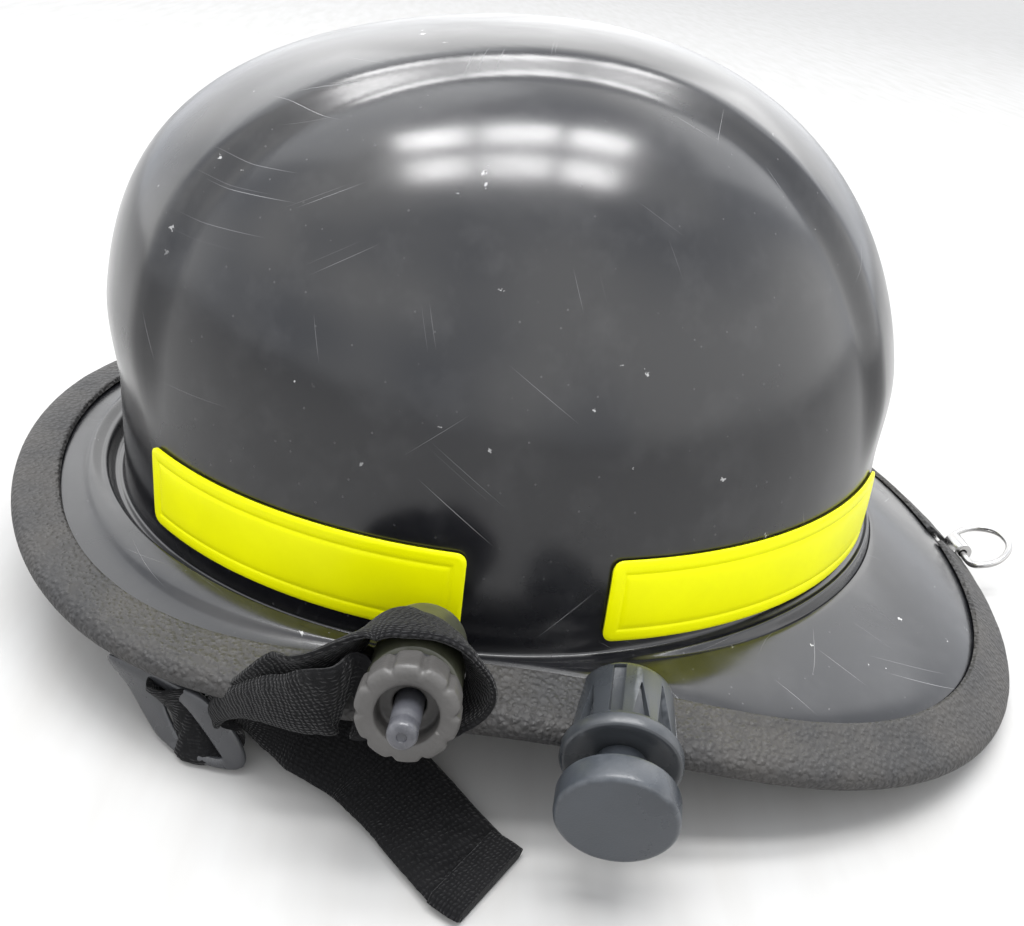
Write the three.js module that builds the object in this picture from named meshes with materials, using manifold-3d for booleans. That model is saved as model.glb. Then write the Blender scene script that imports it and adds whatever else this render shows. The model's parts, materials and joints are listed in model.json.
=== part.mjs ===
// A structural firefighter's helmet, contemporary low-brim pattern, with goggles stowed under the brim.
// Millimetres. +Z is up and the part stands on Z = 0. The front of the helmet faces -X, and the
// wearer's left side is -Y. The middle plane is Y = 0, and the origin is under the middle of the part.

import * as THREE from 'three';
import { mergeVertices } from 'three/addons/utils/BufferGeometryUtils.js';
import Module from 'manifold-3d';

const wasm = await Module();
wasm.setup();

// ---------- driving dimensions ----------

const GAP = 0.4; // clearance between touching pieces
const SHELL_X = -8; // middle of the crown, from the origin
const WALL = 3; // shell thickness
const CROWN_BASE = 41.5; // height of the crown's lower edge above the table
const CROWN_HEIGHT = 150.4; // from that edge to the top
const RIDGE = { rise: 4.1, halfWidth: 48, flare: 30, edge: 6, fade: [28, 60] }; // the broad raised band on top

// Stations run from the middle of the back (first) round one side to the middle of the front (last).
const crownRadius = aroundHelmet([128, 122, 122, 135, 148]);
const wallPower = aroundHelmet([2.1, 2.7, 2.0]);
const crownPower = aroundHelmet([2.5, 2.3, 4.15]);
const brimRadius = aroundHelmet([183, 179.7, 149.5, 169, 178]);
const brimHeight = aroundHelmet([5.2, 12.6, 35.2, 31.1, 37.4]);
const brimSlope = aroundHelmet([0.7, 0.6, 0.3, 0.2, 0.1]);
const grooveDepth = aroundHelmet([0.5, 0.5, 4, 6, 6]);
const lipDrop = aroundHelmet([5, 4, 2, 1.5, 1.5]);
const linerRim = aroundHelmet([98, 84, 68, 68, 68]);

const STRIP = { low: 42.8, high: 69.2, offset: 0.7, thickness: 1.1, front: [3.67, 4.50], rear: [4.835, 5.88] };
const BEAD = { radius: 4.8, topLeg: 14, underLeg: 11, slot: 1.9 };
const ELASTIC = { width: 30, thickness: 1.8 };
const HEADBAND = { x: -20, halfLength: 99, halfWidth: 79, low: 58, high: 86, thickness: 2.4, nape: 0.42 };
const HANGER_ANGLES = { front: 2.27, rear: 0.87 };
const VISOR_POST = { start: [-44.2, -131.5, 46.6], along: [-0.09, -0.97, 0.22], radius: 12.3, length: 29 };
const REAR_PEG = { start: [13, -137, 37.5], along: [-0.18, -0.975, -0.115], topRadius: 13 };
const GOGGLE = { centre: [-120, 0, 5.1], halfWidth: 86, halfHeight: 26, rim: 11, depth: 21, lean: 1.38 };
// The strap arm's corners: the front bar hinges on the goggles' ear, the rear bar carries the elastic.
const ARM = {
  frontTop: [-135, -114.5, 21.5],
  frontFoot: [-123.5, -118, 2.3],
  rearFoot: [-92.5, -132.5, 2.3],
  rearTop: [-116.5, -122, 22],
  size: 3.6,
};
const RACK = { pitch: 3.2, length: 38, tongueX: 71.5 };
const RATCHET = { x: 88, z: 70, housing: [9, 52, 24], knobRadius: 17, knobLength: 8.5 };

const CENTRING = [-2.65, 0, 0.1]; // puts the finished helmet's middle over the origin, standing on Z = 0
const AROUND_STEPS = 52;
const SIDES = [['left', 1], ['right', -1]];

const COLOURS = {
  shell: [0x0c0d0f, 0.16, 0],
  trim: [0x2b2b2c, 0.85, 0],
  strip: [0xd8f500, 0.4, 0],
  steel: [0xb9bbbd, 0.25, 1],
  post: [0x35362f, 0.6, 0],
  peg: [0x2a2e33, 0.45, 0],
  knob: [0x3c3a38, 0.55, 0],
  stud: [0x5d5f66, 0.4, 0.3],
  elastic: [0x111113, 0.95, 0],
  plastic: [0x1d1e20, 0.5, 0],
  lens: [0xaeb6b8, 0.08, 0],
  foam: [0x2a2a2c, 0.95, 0],
  liner: [0x5b5d5a, 0.9, 0],
  pad: [0x202124, 0.95, 0],
};

// ---------- general helpers ----------

// A smooth value round the helmet through evenly spaced stations, the same on both sides.
function aroundHelmet(stations) {
  const last = stations.length - 1;
  const half = (i) => (i === 0 || i === last ? 0.5 : 1);
  const terms = stations.map((_, j) => {
    const wave = (value, k) => half(k) * value * Math.cos((j * k * Math.PI) / last);
    return (2 / last) * half(j) * stations.reduce((sum, value, k) => sum + wave(value, k), 0);
  });
  return (angle) => terms.reduce((sum, term, j) => sum + term * Math.cos(j * angle), 0);
}

const vec = (x, y, z) => new THREE.Vector3(x, y, z);
const range = (count) => Array.from({ length: count }, (_, i) => i);
const spread = (from, to, count) => range(count).map((i) => from + ((to - from) * i) / (count - 1));

// A closed body from a row of rings that all have the same number of points.
function bodyFromRings(rings, isLoop = false) {
  const size = rings[0].length;
  const points = rings.flat();
  const faces = [];
  const steps = isLoop ? rings.length : rings.length - 1;
  for (const i of range(steps)) {
    const here = i * size;
    const next = ((i + 1) % rings.length) * size;
    for (const j of range(size)) {
      const k = (j + 1) % size;
      faces.push([here + j, here + k, next + k], [here + j, next + k, next + j]);
    }
  }
  if (!isLoop) {
    closeEnd(points, faces, rings[0], 0, true);
    closeEnd(points, faces, rings[rings.length - 1], (rings.length - 1) * size, false);
  }
  return solidGeometry(points, faces);
}

// Closes one end of a row of rings with a fan round its middle point.
function closeEnd(points, faces, ring, first, isStart) {
  const middle = ring.reduce((sum, p) => sum.add(p), vec(0, 0, 0)).divideScalar(ring.length);
  const hub = points.push(middle) - 1;
  for (const j of range(ring.length)) {
    const a = first + j;
    const b = first + ((j + 1) % ring.length);
    faces.push(isStart ? [hub, b, a] : [hub, a, b]);
  }
}

// Geometry from points and faces, turned so that the faces point out.
function solidGeometry(points, faces) {
  const volume = faces.reduce((sum, [a, b, c]) => {
    const cross = points[b].clone().cross(points[c]);
    return sum + points[a].dot(cross);
  }, 0);
  const outward = volume > 0 ? faces : faces.map(([a, b, c]) => [a, c, b]);
  const geometry = new THREE.BufferGeometry();
  geometry.setAttribute('position', new THREE.Float32BufferAttribute(points.flatMap((p) => p.toArray()), 3));
  geometry.setIndex(outward.flat());
  return geometry;
}

function toSolid(geometry) {
  const bare = geometry.clone();
  bare.deleteAttribute('normal');
  bare.deleteAttribute('uv');
  const merged = mergeVertices(bare, 1e-4);
  const vertProperties = new Float32Array(merged.attributes.position.array);
  const triVerts = new Uint32Array(merged.index.array);
  return new wasm.Manifold(new wasm.Mesh({ numProp: 3, vertProperties, triVerts }));
}

function fromSolid(solid) {
  const mesh = solid.getMesh();
  const geometry = new THREE.BufferGeometry();
  geometry.setAttribute('position', new THREE.Float32BufferAttribute(mesh.vertProperties, 3));
  geometry.setIndex(Array.from(mesh.triVerts));
  return geometry;
}

function cut(geometry, ...tools) {
  return fromSolid(tools.reduce((solid, tool) => solid.subtract(toSolid(tool)), toSolid(geometry)));
}

function join(geometry, ...others) {
  return fromSolid(others.reduce((solid, other) => solid.add(toSolid(other)), toSolid(geometry)));
}

// A box, given its size and its middle.
function box(size, middle) {
  return new THREE.BoxGeometry(...size).translate(...middle);
}

// A turned piece standing on the origin with its axis along +Z, from [radius, height] corners.
function turned(corners, sides = 24) {
  return new THREE.LatheGeometry(corners.map(([r, z]) => new THREE.Vector2(r, z)), sides).rotateX(Math.PI / 2);
}

const rod = (radius, length, sides = 20) => turned([[0, 0], [radius, 0], [radius, length], [0, length]], sides);

// Points a piece made along +Z in another direction and puts its foot at a place.
function aim(geometry, foot, along) {
  const turn = new THREE.Quaternion().setFromUnitVectors(vec(0, 0, 1), vec(...along).normalize());
  return geometry.applyQuaternion(turn).translate(...foot);
}

// The point a distance along a direction from a place.
function onward(foot, along, distance) {
  return vec(...along).normalize().multiplyScalar(distance).add(vec(...foot)).toArray();
}

// A flat strap along a route of stops: across points over its width, which may change.
function strap(stops, steps, thickness = ELASTIC.thickness) {
  const route = new THREE.CatmullRomCurve3(stops.map((s) => vec(...s.at)), false, 'centripetal');
  const widths = new THREE.CatmullRomCurve3(stops.map((s) => vec(...s.across)), false, 'centripetal');
  const rings = spread(0, 1, steps).map((t) => {
    const at = route.getPoint(t);
    const along = route.getTangent(t);
    const across = widths.getPoint(t);
    across.addScaledVector(along, -across.dot(along)).normalize();
    const up = along.clone().cross(across).normalize();
    return strapRing(at, across, up, widthAlong(stops, t), thickness);
  });
  return bodyFromRings(rings);
}

function widthAlong(stops, t) {
  const place = t * (stops.length - 1);
  const before = Math.min(Math.floor(place), stops.length - 2);
  return THREE.MathUtils.lerp(stops[before].width, stops[before + 1].width, place - before);
}

function strapRing(at, across, up, width, thickness) {
  const corners = [[-1, -1], [1, -1], [1, 1], [-1, 1]];
  return corners.map(([a, b]) => at.clone()
    .addScaledVector(across, (a * width) / 2)
    .addScaledVector(up, (b * thickness) / 2));
}

// ---------- the shell's surfaces ----------

// A point of the crown, offset outwards; rise is 0 at its lower edge and a quarter turn at the top.
function crownPoint(angle, rise, offset = 0, hasRidge = true) {
  const out = (crownRadius(angle) + offset) * Math.cos(rise) ** (2 / wallPower(angle));
  const up = (CROWN_HEIGHT + offset) * Math.sin(rise) ** (2 / crownPower(angle));
  const [x, y] = [out * Math.cos(angle), out * Math.sin(angle)];
  const lift = hasRidge ? 1 + ridgeLift(x, y, up) : 1;
  return vec(SHELL_X + x * lift, y * lift, CROWN_BASE + up * lift);
}

// How far the raised band stands out, as a share of the distance from the crown's middle. It fades
// out above the reflective strips.
function ridgeLift(x, y, up) {
  const { rise, halfWidth, flare, edge, fade } = RIDGE;
  const half = halfWidth + flare * (x / CROWN_HEIGHT) ** 2;
  const across = 1 - THREE.MathUtils.smoothstep(Math.abs(y), half - edge, half + edge);
  return (rise / CROWN_HEIGHT) * across * THREE.MathUtils.smoothstep(up, ...fade);
}

// The rise at which the crown reaches a height.
function riseAt(angle, height) {
  const share = (height - CROWN_BASE) / CROWN_HEIGHT;
  return Math.asin(Math.max(share, 0) ** (crownPower(angle) / 2));
}

const around = (angle, out, z) => vec(SHELL_X + out * Math.cos(angle), out * Math.sin(angle), z);

// A place on the brim: inward from its edge along its slope, and up off its middle surface.
function onBrim(angle, inward, up) {
  const slope = brimSlope(angle);
  const out = brimRadius(angle) - inward * Math.cos(slope) + up * Math.sin(slope);
  const z = brimHeight(angle) + inward * Math.sin(slope) + up * Math.cos(slope);
  return [out, z];
}

// The brim's section from the crown's lower edge out over the top, round the edge and back below.
function brimSection(angle, grow) {
  const base = crownRadius(angle);
  const groove = CROWN_BASE - grooveDepth(angle);
  const lip = CROWN_BASE - lipDrop(angle);
  const half = WALL / 2 + grow;
  const shelf = onBrim(angle, 16, half);
  const underShelf = onBrim(angle, 16, -half);
  const middle = [(base + 8 + shelf[0]) / 2, (lip + shelf[1]) / 2 + 0.8];
  return [
    [base + grow, CROWN_BASE],
    [base + 1 + grow, groove + grow],
    [base + 4, groove + grow],
    [base + 6, lip + grow],
    [base + 8, lip + grow],
    middle,
    shelf,
    onBrim(angle, -grow, half),
    onBrim(angle, -grow, -half),
    underShelf,
    [(base + 5 + underShelf[0]) / 2, (groove - WALL + underShelf[1]) / 2 - grow],
    [base + 3, groove - WALL - grow],
    [base - WALL - grow, groove - WALL - grow],
  ];
}

const shellAngles = range(AROUND_STEPS).map((i) => (i / AROUND_STEPS) * 2 * Math.PI);

// The shell: crown and brim in one moulding. A little growth makes the tool that cuts its neighbours.
function shellGeometry(grow = 0) {
  const outer = spread(1.5, 0.05, 12).map((rise) => shellAngles.map((a) => crownPoint(a, rise, grow)));
  const brim = range(13).map((i) => shellAngles.map((a) => around(a, ...brimSection(a, grow)[i])));
  const inner = spread(0.02, 1.5, 8).map(
    (rise) => shellAngles.map((a) => crownPoint(a, rise, -WALL - grow, false)),
  );
  return bodyFromRings([...outer, ...brim, ...inner]);
}

// ---------- shell pieces ----------

function shell(boltHoles) {
  return cut(shellGeometry(), ...boltHoles, ...frontPieceHoles());
}

// Two small holes side by side at the front, where a badge holder screws on.
function frontPieceHoles() {
  return [-9, 9].map((y) => aim(rod(2.2, 30, 12), [SHELL_X - 162, y, 25], [0, 0, 1]));
}

// The bead that is pushed over the brim's edge: a U of rubber with a round nose.
function edgeBead(grow = 0) {
  const { radius, topLeg, underLeg, slot } = BEAD;
  const full = radius + grow;
  const nose = spread(-90, 90, 5).map((deg) => {
    const turn = THREE.MathUtils.degToRad(deg);
    return [-full * Math.cos(turn) - 0.4, full * Math.sin(turn)];
  });
  const legs = [[topLeg, 4.1], [topLeg, slot], [-0.5, slot], [-0.5, -slot], [underLeg, -slot], [underLeg, -4.1]];
  const section = grow > 0 ? [...nose, [topLeg + grow, full], [topLeg + grow, -full]] : [...nose, ...legs];
  return bodyFromRings(range(60).map((i) => {
    const angle = (i / 60) * 2 * Math.PI;
    return section.map(([inward, up]) => around(angle, ...onBrim(angle, inward, up)));
  }), true);
}

// A reflective strip bent round the crown, a hair off its surface.
function reflectiveStrip([from, to]) {
  const { low, high, offset, thickness } = STRIP;
  return bodyFromRings(spread(from, to, 15).map((angle) => {
    const inner = [low, (low + high) / 2, high].map((z) => crownPoint(angle, riseAt(angle, z), offset));
    const outer = [high, (low + high) / 2, low].map((z) => crownPoint(angle, riseAt(angle, z), offset + thickness));
    return [...inner, ...outer];
  }));
}

// ---------- hanger ring at the back ----------

const CLIP = { width: 10, leg: 11, thickness: 1.2, curl: [1.5, 6.7], curlRadius: 3.8, bore: 1.75 };
const RING = { wire: 1.35, raise: 0.4, shift: -3 }; // it has slid to the left in its clip
const ringHinge = around(0, ...onBrim(0, ...CLIP.curl));

// The bead is spliced at the middle of the back, where the clip sits.
const spliceGap = () => box([60, CLIP.width + 2 * GAP, 60], [SHELL_X + brimRadius(0), 0, 10]);

// A steel clip folded over the brim's edge, with a curl above it that holds the ring.
function ringClip() {
  const near = BEAD.slot;
  const far = near + CLIP.thickness;
  const outline = [[CLIP.leg, near], [-GAP, near], [-GAP, -near], [CLIP.leg, -near],
    [CLIP.leg, -far], [-GAP - CLIP.thickness, -far], [-GAP - CLIP.thickness, far], [CLIP.leg, far]];
  const ring = (y) => outline.map((place) => {
    const flat = around(0, ...onBrim(0, ...place));
    return vec(flat.x, y, flat.z);
  });
  return curlOverClip(bentPlate(ring(-CLIP.width / 2), ring(CLIP.width / 2)));
}

// A prism between two matching outlines that may have hollow corners, drawn in x and z.
function bentPlate(near, far) {
  const flat = near.map((p) => new THREE.Vector2(p.x, p.z));
  const ends = THREE.ShapeUtils.triangulateShape(flat, []);
  const count = near.length;
  const isFlipped = THREE.ShapeUtils.isClockWise(flat);
  const nearFaces = isFlipped ? ends.map(([a, b, c]) => [a, c, b]) : ends;
  const farFaces = nearFaces.map(([a, b, c]) => [count + a, count + c, count + b]);
  const sides = range(count).flatMap((i) => {
    const j = (i + 1) % count;
    return [[i, count + i, count + j], [i, count + j, j]];
  });
  return solidGeometry([...near, ...far], [...nearFaces, ...farFaces, ...sides]);
}

function curlOverClip(plate) {
  const [x, , z] = ringHinge.toArray();
  const half = CLIP.width / 2;
  const curl = aim(rod(CLIP.curlRadius, CLIP.width, 20), [x, -half, z], [0, 1, 0]);
  const bore = aim(rod(CLIP.bore, CLIP.width + 2, 20), [x, -half - 1, z], [0, 1, 0]);
  return cut(join(plate, curl), bore);
}

// The ring of steel wire: its straight side lies in the clip's curl and the rest stands out behind.
function hangerRing() {
  const [x, , z] = ringHinge.toArray();
  const corners = [[0, -9.5], [0, 9.5], [4.5, 12.5], [11, 12], [16.5, 7.5], [18.5, 0], [16.5, -7.5], [11, -12],
    [4.5, -12.5]];
  const [level, rise] = [Math.cos(RING.raise), Math.sin(RING.raise)];
  const points = corners.map(([out, y]) => vec(x + out * level, y + RING.shift, z + out * rise));
  const path = new THREE.CatmullRomCurve3(points, true, 'catmullrom', 0.35);
  const count = 30;
  const side = vec(-rise, 0, level);
  return bodyFromRings(range(count).map((i) => {
    const at = path.getPoint(i / count);
    const out = path.getTangent(i / count).cross(side).normalize();
    return range(6).map((j) => {
      const turn = (j / 6) * 2 * Math.PI;
      return at.clone()
        .addScaledVector(out, RING.wire * Math.cos(turn))
        .addScaledVector(side, RING.wire * Math.sin(turn));
    });
  }), true);
}

// ---------- visor post, knob and stud on each side ----------

const post = VISOR_POST;
const STUD_RADIUS = 3.7;
const STUD_BORE = STUD_RADIUS + GAP;
const postAt = (distance) => onward(post.start, post.along, distance);
const onPost = (geometry, distance) => aim(geometry, postAt(distance), post.along);

// The moulded boss that stands on the brim and carries the visor and the goggle strap.
function visorPost(shellTool, beadTool) {
  const { radius, length } = post;
  const body = onPost(turned([[0, 0], [radius, 0], [radius, length - 1], [radius - 1, length], [0, length]]), 0);
  const bore = onPost(rod(STUD_BORE, length + 10, 24), -5);
  return cut(body, bore, shellTool, beadTool);
}

const studHole = () => onPost(rod(STUD_BORE, 60, 24), -30);

// The stud runs from a head inside the shell out through the post, with a groove near its tip.
function visorStud() {
  const shank = STUD_RADIUS;
  const tip = post.length + 23;
  return onPost(turned([[0, -19.5], [7.5, -19.5], [7.5, -17.2], [shank, -17.2], [shank, tip - 6],
    [shank - 0.7, tip - 6], [shank - 0.7, tip - 4.4], [shank, tip - 4.4], [shank, tip - 0.8], [shank - 0.8, tip],
    [0, tip]], 16), 0);
}

function visorWasher() {
  return onPost(cut(rod(11, 2.2), rod(STUD_BORE, 4).translate(0, 0, -1)), post.length + GAP);
}

// The fluted ring knob: ten shallow flutes round it and a deep round recess in its face.
function visorKnob() {
  const [radius, length] = [13, 10];
  const body = turned([[STUD_BORE, 0], [radius - 1, 0], [radius, 1.2], [radius, length - 1.5],
    [radius - 1.5, length], [7.8, length], [7.6, 3.5], [STUD_BORE, 3.5], [STUD_BORE, 0]], 30);
  const flutes = scallops(10, radius + 1.8, 3, length + 2);
  return onPost(cut(body, ...flutes), post.length + 2.2 + 2 * GAP);
}

// Rods standing in a circle, which cut the finger grips round a knob.
function scallops(count, distance, radius, length) {
  return range(count).map((i) => {
    const turn = (i / count) * 2 * Math.PI;
    return rod(radius, length, 6).translate(distance * Math.cos(turn), distance * Math.sin(turn), -1);
  });
}

// ---------- rear peg on each side ----------

const peg = REAR_PEG;
const onPeg = (geometry, distance) => aim(geometry, onward(peg.start, peg.along, distance), peg.along);

// The body that grips the brim's edge: it widens to a flange, and wedge slots run along its sides.
function pegBody(shellTool, beadTool) {
  const outline = [[0, 0], [peg.topRadius - 2, 0], [peg.topRadius, 2], [14.8, 21.5], [16.3, 22.5], [16.3, 25.5],
    [15.4, 26.4], [13.8, 26.4], [12.6, 25], [4, 25], [4, 21.3], [0, 21.3]];
  const slots = range(6).map((i) => box([4, i === 0 ? 3.2 : 4.2, 18], [14.4, 0, 11]).rotateZ(i * Math.PI / 3));
  return cut(onPeg(cut(turned(outline, 24), ...slots), 0), shellTool, beadTool);
}

// The turning cap: a neck in the body's socket and a thick plain disc.
function pegCap() {
  return onPeg(turned([[0, 21.7], [3.6, 21.7], [3.6, 25.4], [7, 25.4], [7, 35.4], [15, 35.4], [15.9, 36.4],
    [15.9, 43], [14.8, 44], [0, 44]], 28), 0);
}

// ---------- goggles stowed under the front of the brim ----------

// Puts a piece drawn face-on (x across, y up the face, z out of the lens) into its stowed place.
function stow(geometry) {
  const { centre, lean } = GOGGLE;
  const ahead = vec(-Math.cos(lean), 0, -Math.sin(lean));
  const upFace = vec(-Math.sin(lean), 0, Math.cos(lean));
  const across = upFace.clone().cross(ahead);
  const frame = new THREE.Matrix4().makeBasis(across, upFace, ahead).setPosition(...centre);
  return geometry.applyMatrix4(frame);
}

// The outline of the goggles: rounded ends, a flat brow and a notch for the nose.
function goggleOutline(inset) {
  const [w, h] = [GOGGLE.halfWidth - inset, GOGGLE.halfHeight - inset];
  const shape = new THREE.Shape();
  shape.moveTo(-w + 16, h);
  shape.lineTo(w - 16, h);
  shape.quadraticCurveTo(w, h, w, h - 16);
  shape.lineTo(w - 2, -6);
  shape.quadraticCurveTo(w - 8, -h, w - 34, -h);
  shape.quadraticCurveTo(26, -h, 14, -h + 14);
  shape.quadraticCurveTo(0, -h + 24, -14, -h + 14);
  shape.quadraticCurveTo(-26, -h, -w + 34, -h);
  shape.quadraticCurveTo(-w + 8, -h, -w + 2, -6);
  shape.lineTo(-w, h - 16);
  shape.quadraticCurveTo(-w, h, -w + 16, h);
  return shape;
}

// A plate or ring with the goggles' outline between two depths behind the lens face.
function gogglePlate(inset, from, to, holeInset = null) {
  const shape = goggleOutline(inset);
  if (holeInset !== null) {
    shape.holes.push(new THREE.Path(goggleOutline(holeInset).getPoints(5).reverse()));
  }
  const options = { depth: to - from, bevelEnabled: false, curveSegments: 5 };
  return new THREE.ExtrudeGeometry(shape, options).translate(0, 0, -to);
}

// The frame has an ear at each end for the strap arm's hinge.
function goggleFrame() {
  const reach = -ARM.frontTop[1] - ARM.size - GOGGLE.halfWidth;
  const middle = GOGGLE.halfWidth - 3 + reach / 2;
  const ears = [-1, 1].map((side) => box([reach + 4, 12, 5], [side * middle, 8, -7]));
  return stow(join(gogglePlate(0, 0, GOGGLE.rim, 5), ...ears));
}

const goggleLens = () => stow(gogglePlate(5.4, 3, 5.5));
const gogglePad = () => stow(gogglePlate(1, GOGGLE.rim + GAP, GOGGLE.depth, 10));

// A straight bar of rectangular section from one point to another, its width kept level.
function bar(from, to, width, thickness) {
  const [start, end] = [vec(...from), vec(...to)];
  const along = end.clone().sub(start);
  const axis = along.clone().normalize();
  const level = vec(0, 0, 1).cross(axis).normalize();
  const basis = new THREE.Matrix4().makeBasis(level, axis.clone().cross(level), axis);
  const middle = start.add(end).multiplyScalar(0.5);
  return new THREE.BoxGeometry(width, thickness, along.length()).applyMatrix4(basis).translate(...middle.toArray());
}

// The arm is a four-sided loop of bars round the slot that the elastic passes through.
function strapArm() {
  const places = [ARM.frontTop, ARM.frontFoot, ARM.rearFoot, ARM.rearTop];
  const bars = places.map((place, i) => bar(place, places[(i + 1) % 4], ARM.size, ARM.size));
  const knuckles = places.map((place) => new THREE.IcosahedronGeometry(ARM.size * 0.62, 0).translate(...place));
  return join(bars[0], ...bars.slice(1), ...knuckles);
}

// ---------- elastic strap on each side ----------

const armBar = vec(...ARM.rearTop).sub(vec(...ARM.rearFoot)).normalize().toArray();

// The strap's loop round the post: a closed band behind the knob.
function strapLoop(shellTool, beadTool) {
  const [inner, outer] = [post.radius + GAP, post.radius + GAP + ELASTIC.thickness];
  const length = 19;
  const band = turned([[inner, 0], [outer, 0], [outer, length], [inner, length], [inner, 0]], 32);
  return cut(onPost(band, post.length - length - 1), shellTool, beadTool);
}

// The strap's run from the loop, squeezed past the bead, to the arm's rear bar.
function strapRun() {
  const loopMiddle = postAt(post.length - 10.5);
  const leave = [loopMiddle[0] - post.radius - 5.6, loopMiddle[1], loopMiddle[2] - 1];
  return strap([
    { at: leave, across: post.along, width: 18 },
    { at: [-71, -157.5, 42], across: [-0.2, -0.6, 0.75], width: 13 },
    { at: [-86, -151, 25], across: [-0.3, -0.1, 0.9], width: 11 },
    { at: [-97, -138, 17.5], across: armBar, width: 16 },
  ], 14);
}

// The free tail: it leaves the arm's rear bar and lies on the table.
const TAIL = [
  { at: [-85, -142.5, 8], across: [-0.6, -0.2, 0.5], width: 14 },
  { at: [-70, -143, 7.2], across: [-0.6, -0.35, 0.15], width: 22 },
  { at: [-54, -148, 5.4], across: [-0.68, -0.6, 0], width: ELASTIC.width },
  { at: [-38, -160, 2.9], across: [-0.73, -0.68, 0], width: ELASTIC.width },
  { at: [-29.5, -169, 2.2], across: [-0.73, -0.68, 0], width: ELASTIC.width },
];

const strapTail = () => strap(TAIL, 14);

// The tail's end is folded back and stitched flat: a thicker bar across the strap.
function strapHem() {
  const [before, last] = TAIL.slice(-2);
  const along = vec(...last.at).sub(vec(...before.at)).normalize().toArray();
  const [start, end] = [GAP, 9].map((distance) => onward(last.at, along, distance));
  return strap([{ ...last, at: start }, { ...last, at: end }], 2, 3.6);
}

// ---------- inside the shell ----------

// The impact cap: a thick foam bowl that follows the inside of the crown.
function impactLiner() {
  const angles = range(28).map((i) => (i / 28) * 2 * Math.PI);
  const layer = (offset, shares) => shares.map((share) => angles.map((angle) => {
    const low = riseAt(angle, linerRim(angle));
    return crownPoint(angle, low + (1.5 - low) * share, offset, false);
  }));
  return bodyFromRings([...layer(-WALL - 1.5, spread(1, 0, 7)), ...layer(-WALL - 15, spread(0, 1, 6))]);
}

// A crown strap that arches under the liner between two opposite hangers.
function crownStrap(angle, offset) {
  const low = riseAt(angle, linerRim(angle));
  const across = [-Math.sin(angle), Math.cos(angle), 0];
  const half = (turn, rises) => rises.map((rise) => ({
    at: crownPoint(turn, rise, offset, false).toArray(),
    across,
    width: 19,
  }));
  return strap([...half(angle, spread(low, 1.4, 6)), ...half(angle + Math.PI, spread(1.4, low, 6))], 23, 1.2);
}

// A point of the headband's plan at an angle from its own middle, offset outwards.
function bandPoint(angle, offset, z) {
  const { x, halfLength, halfWidth } = HEADBAND;
  const oval = Math.hypot(halfWidth * Math.cos(angle), halfLength * Math.sin(angle));
  const out = (halfLength * halfWidth) / oval + offset;
  return vec(x + out * Math.cos(angle), out * Math.sin(angle), z);
}

// A curved strip that follows the headband between two angles.
function bandStrip(from, to, innerOffset, thickness, low, high, steps) {
  return bodyFromRings(spread(from, to, steps).map((angle) => [
    bandPoint(angle, innerOffset, low),
    bandPoint(angle, innerOffset + thickness, low),
    bandPoint(angle, innerOffset + thickness, high),
    bandPoint(angle, innerOffset, high),
  ]));
}

function headband() {
  const { nape, thickness, low, high } = HEADBAND;
  return bandStrip(nape, 2 * Math.PI - nape, 0, thickness, low, high, 44);
}

const browPad = () => bandStrip(2.2, 2 * Math.PI - 2.2, -6, 5.6, HEADBAND.low - 1, HEADBAND.high - 2, 18);

// A moulded hanger that carries the headband and a crown strap's end from the shell's wall.
function hanger(angle) {
  const z = 55;
  const wallMiddle = around(angle, crownRadius(angle) - WALL - 5, z);
  const bandMiddle = bandPoint(angle, HEADBAND.thickness + 4, z);
  const inward = bandMiddle.clone().sub(wallMiddle).normalize();
  const wallPlate = bar(wallMiddle.toArray(), wallMiddle.clone().addScaledVector(inward, 2.4).toArray(), 16, 14);
  const bandPlate = bar(bandMiddle.toArray(), bandMiddle.clone().addScaledVector(inward, -2.4).toArray(), 16, 16);
  const arm = bar(wallMiddle.toArray(), bandMiddle.toArray(), 12, 3);
  return join(arm, wallPlate, bandPlate);
}

// ---------- ratchet at the nape ----------

const ratchet = RATCHET;

// The housing: a box open through its middle for the racks, with a bore for the knob's shaft.
function ratchetHousing() {
  const [depth, width, height] = ratchet.housing;
  const body = box([depth, width, height], [ratchet.x, 0, ratchet.z]);
  const channel = box([4.4, width + 4, 16], [ratchet.x, 0, ratchet.z]);
  const bore = aim(rod(4.5, 20, 24), [ratchet.x - 1, 0, ratchet.z], [1, 0, 0]);
  return cut(body, channel, bore);
}

// A toothed rack from the band's end into the housing: one runs above the pinion and one below. Its
// tongue bends forward and ends just behind the headband.
function rack(side) {
  const { x, z } = ratchet;
  const level = z - side * 6.2;
  const outerEnd = side * (RACK.length - 2);
  const teeth = range(11).map((i) => box([3, 1.3, 1.3], [x, side * (1 + i * RACK.pitch), z - side * 4.3]));
  const beam = box([3, RACK.length, 3], [x, outerEnd / 2 - side, level]);
  const tongue = bar([x, outerEnd - side * 1.5, level], [RACK.tongueX, outerEnd + side * 5, level], 2.6, 3);
  return join(beam, tongue, ...teeth);
}

// The pinion between the two racks, on the knob's shaft.
function pinion() {
  const { x, z } = ratchet;
  const teeth = range(6).map((i) => box([3, 1.2, 1.3], [0, 0, 2.9]).rotateX((i * Math.PI) / 3));
  const wheel = join(aim(rod(2.6, 3, 24), [-1.5, 0, 0], [1, 0, 0]), ...teeth).translate(x, 0, z);
  const shaft = aim(rod(2.1, 8, 20), [x - 1.5, 0, z], [1, 0, 0]);
  return join(wheel, shaft);
}

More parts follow.
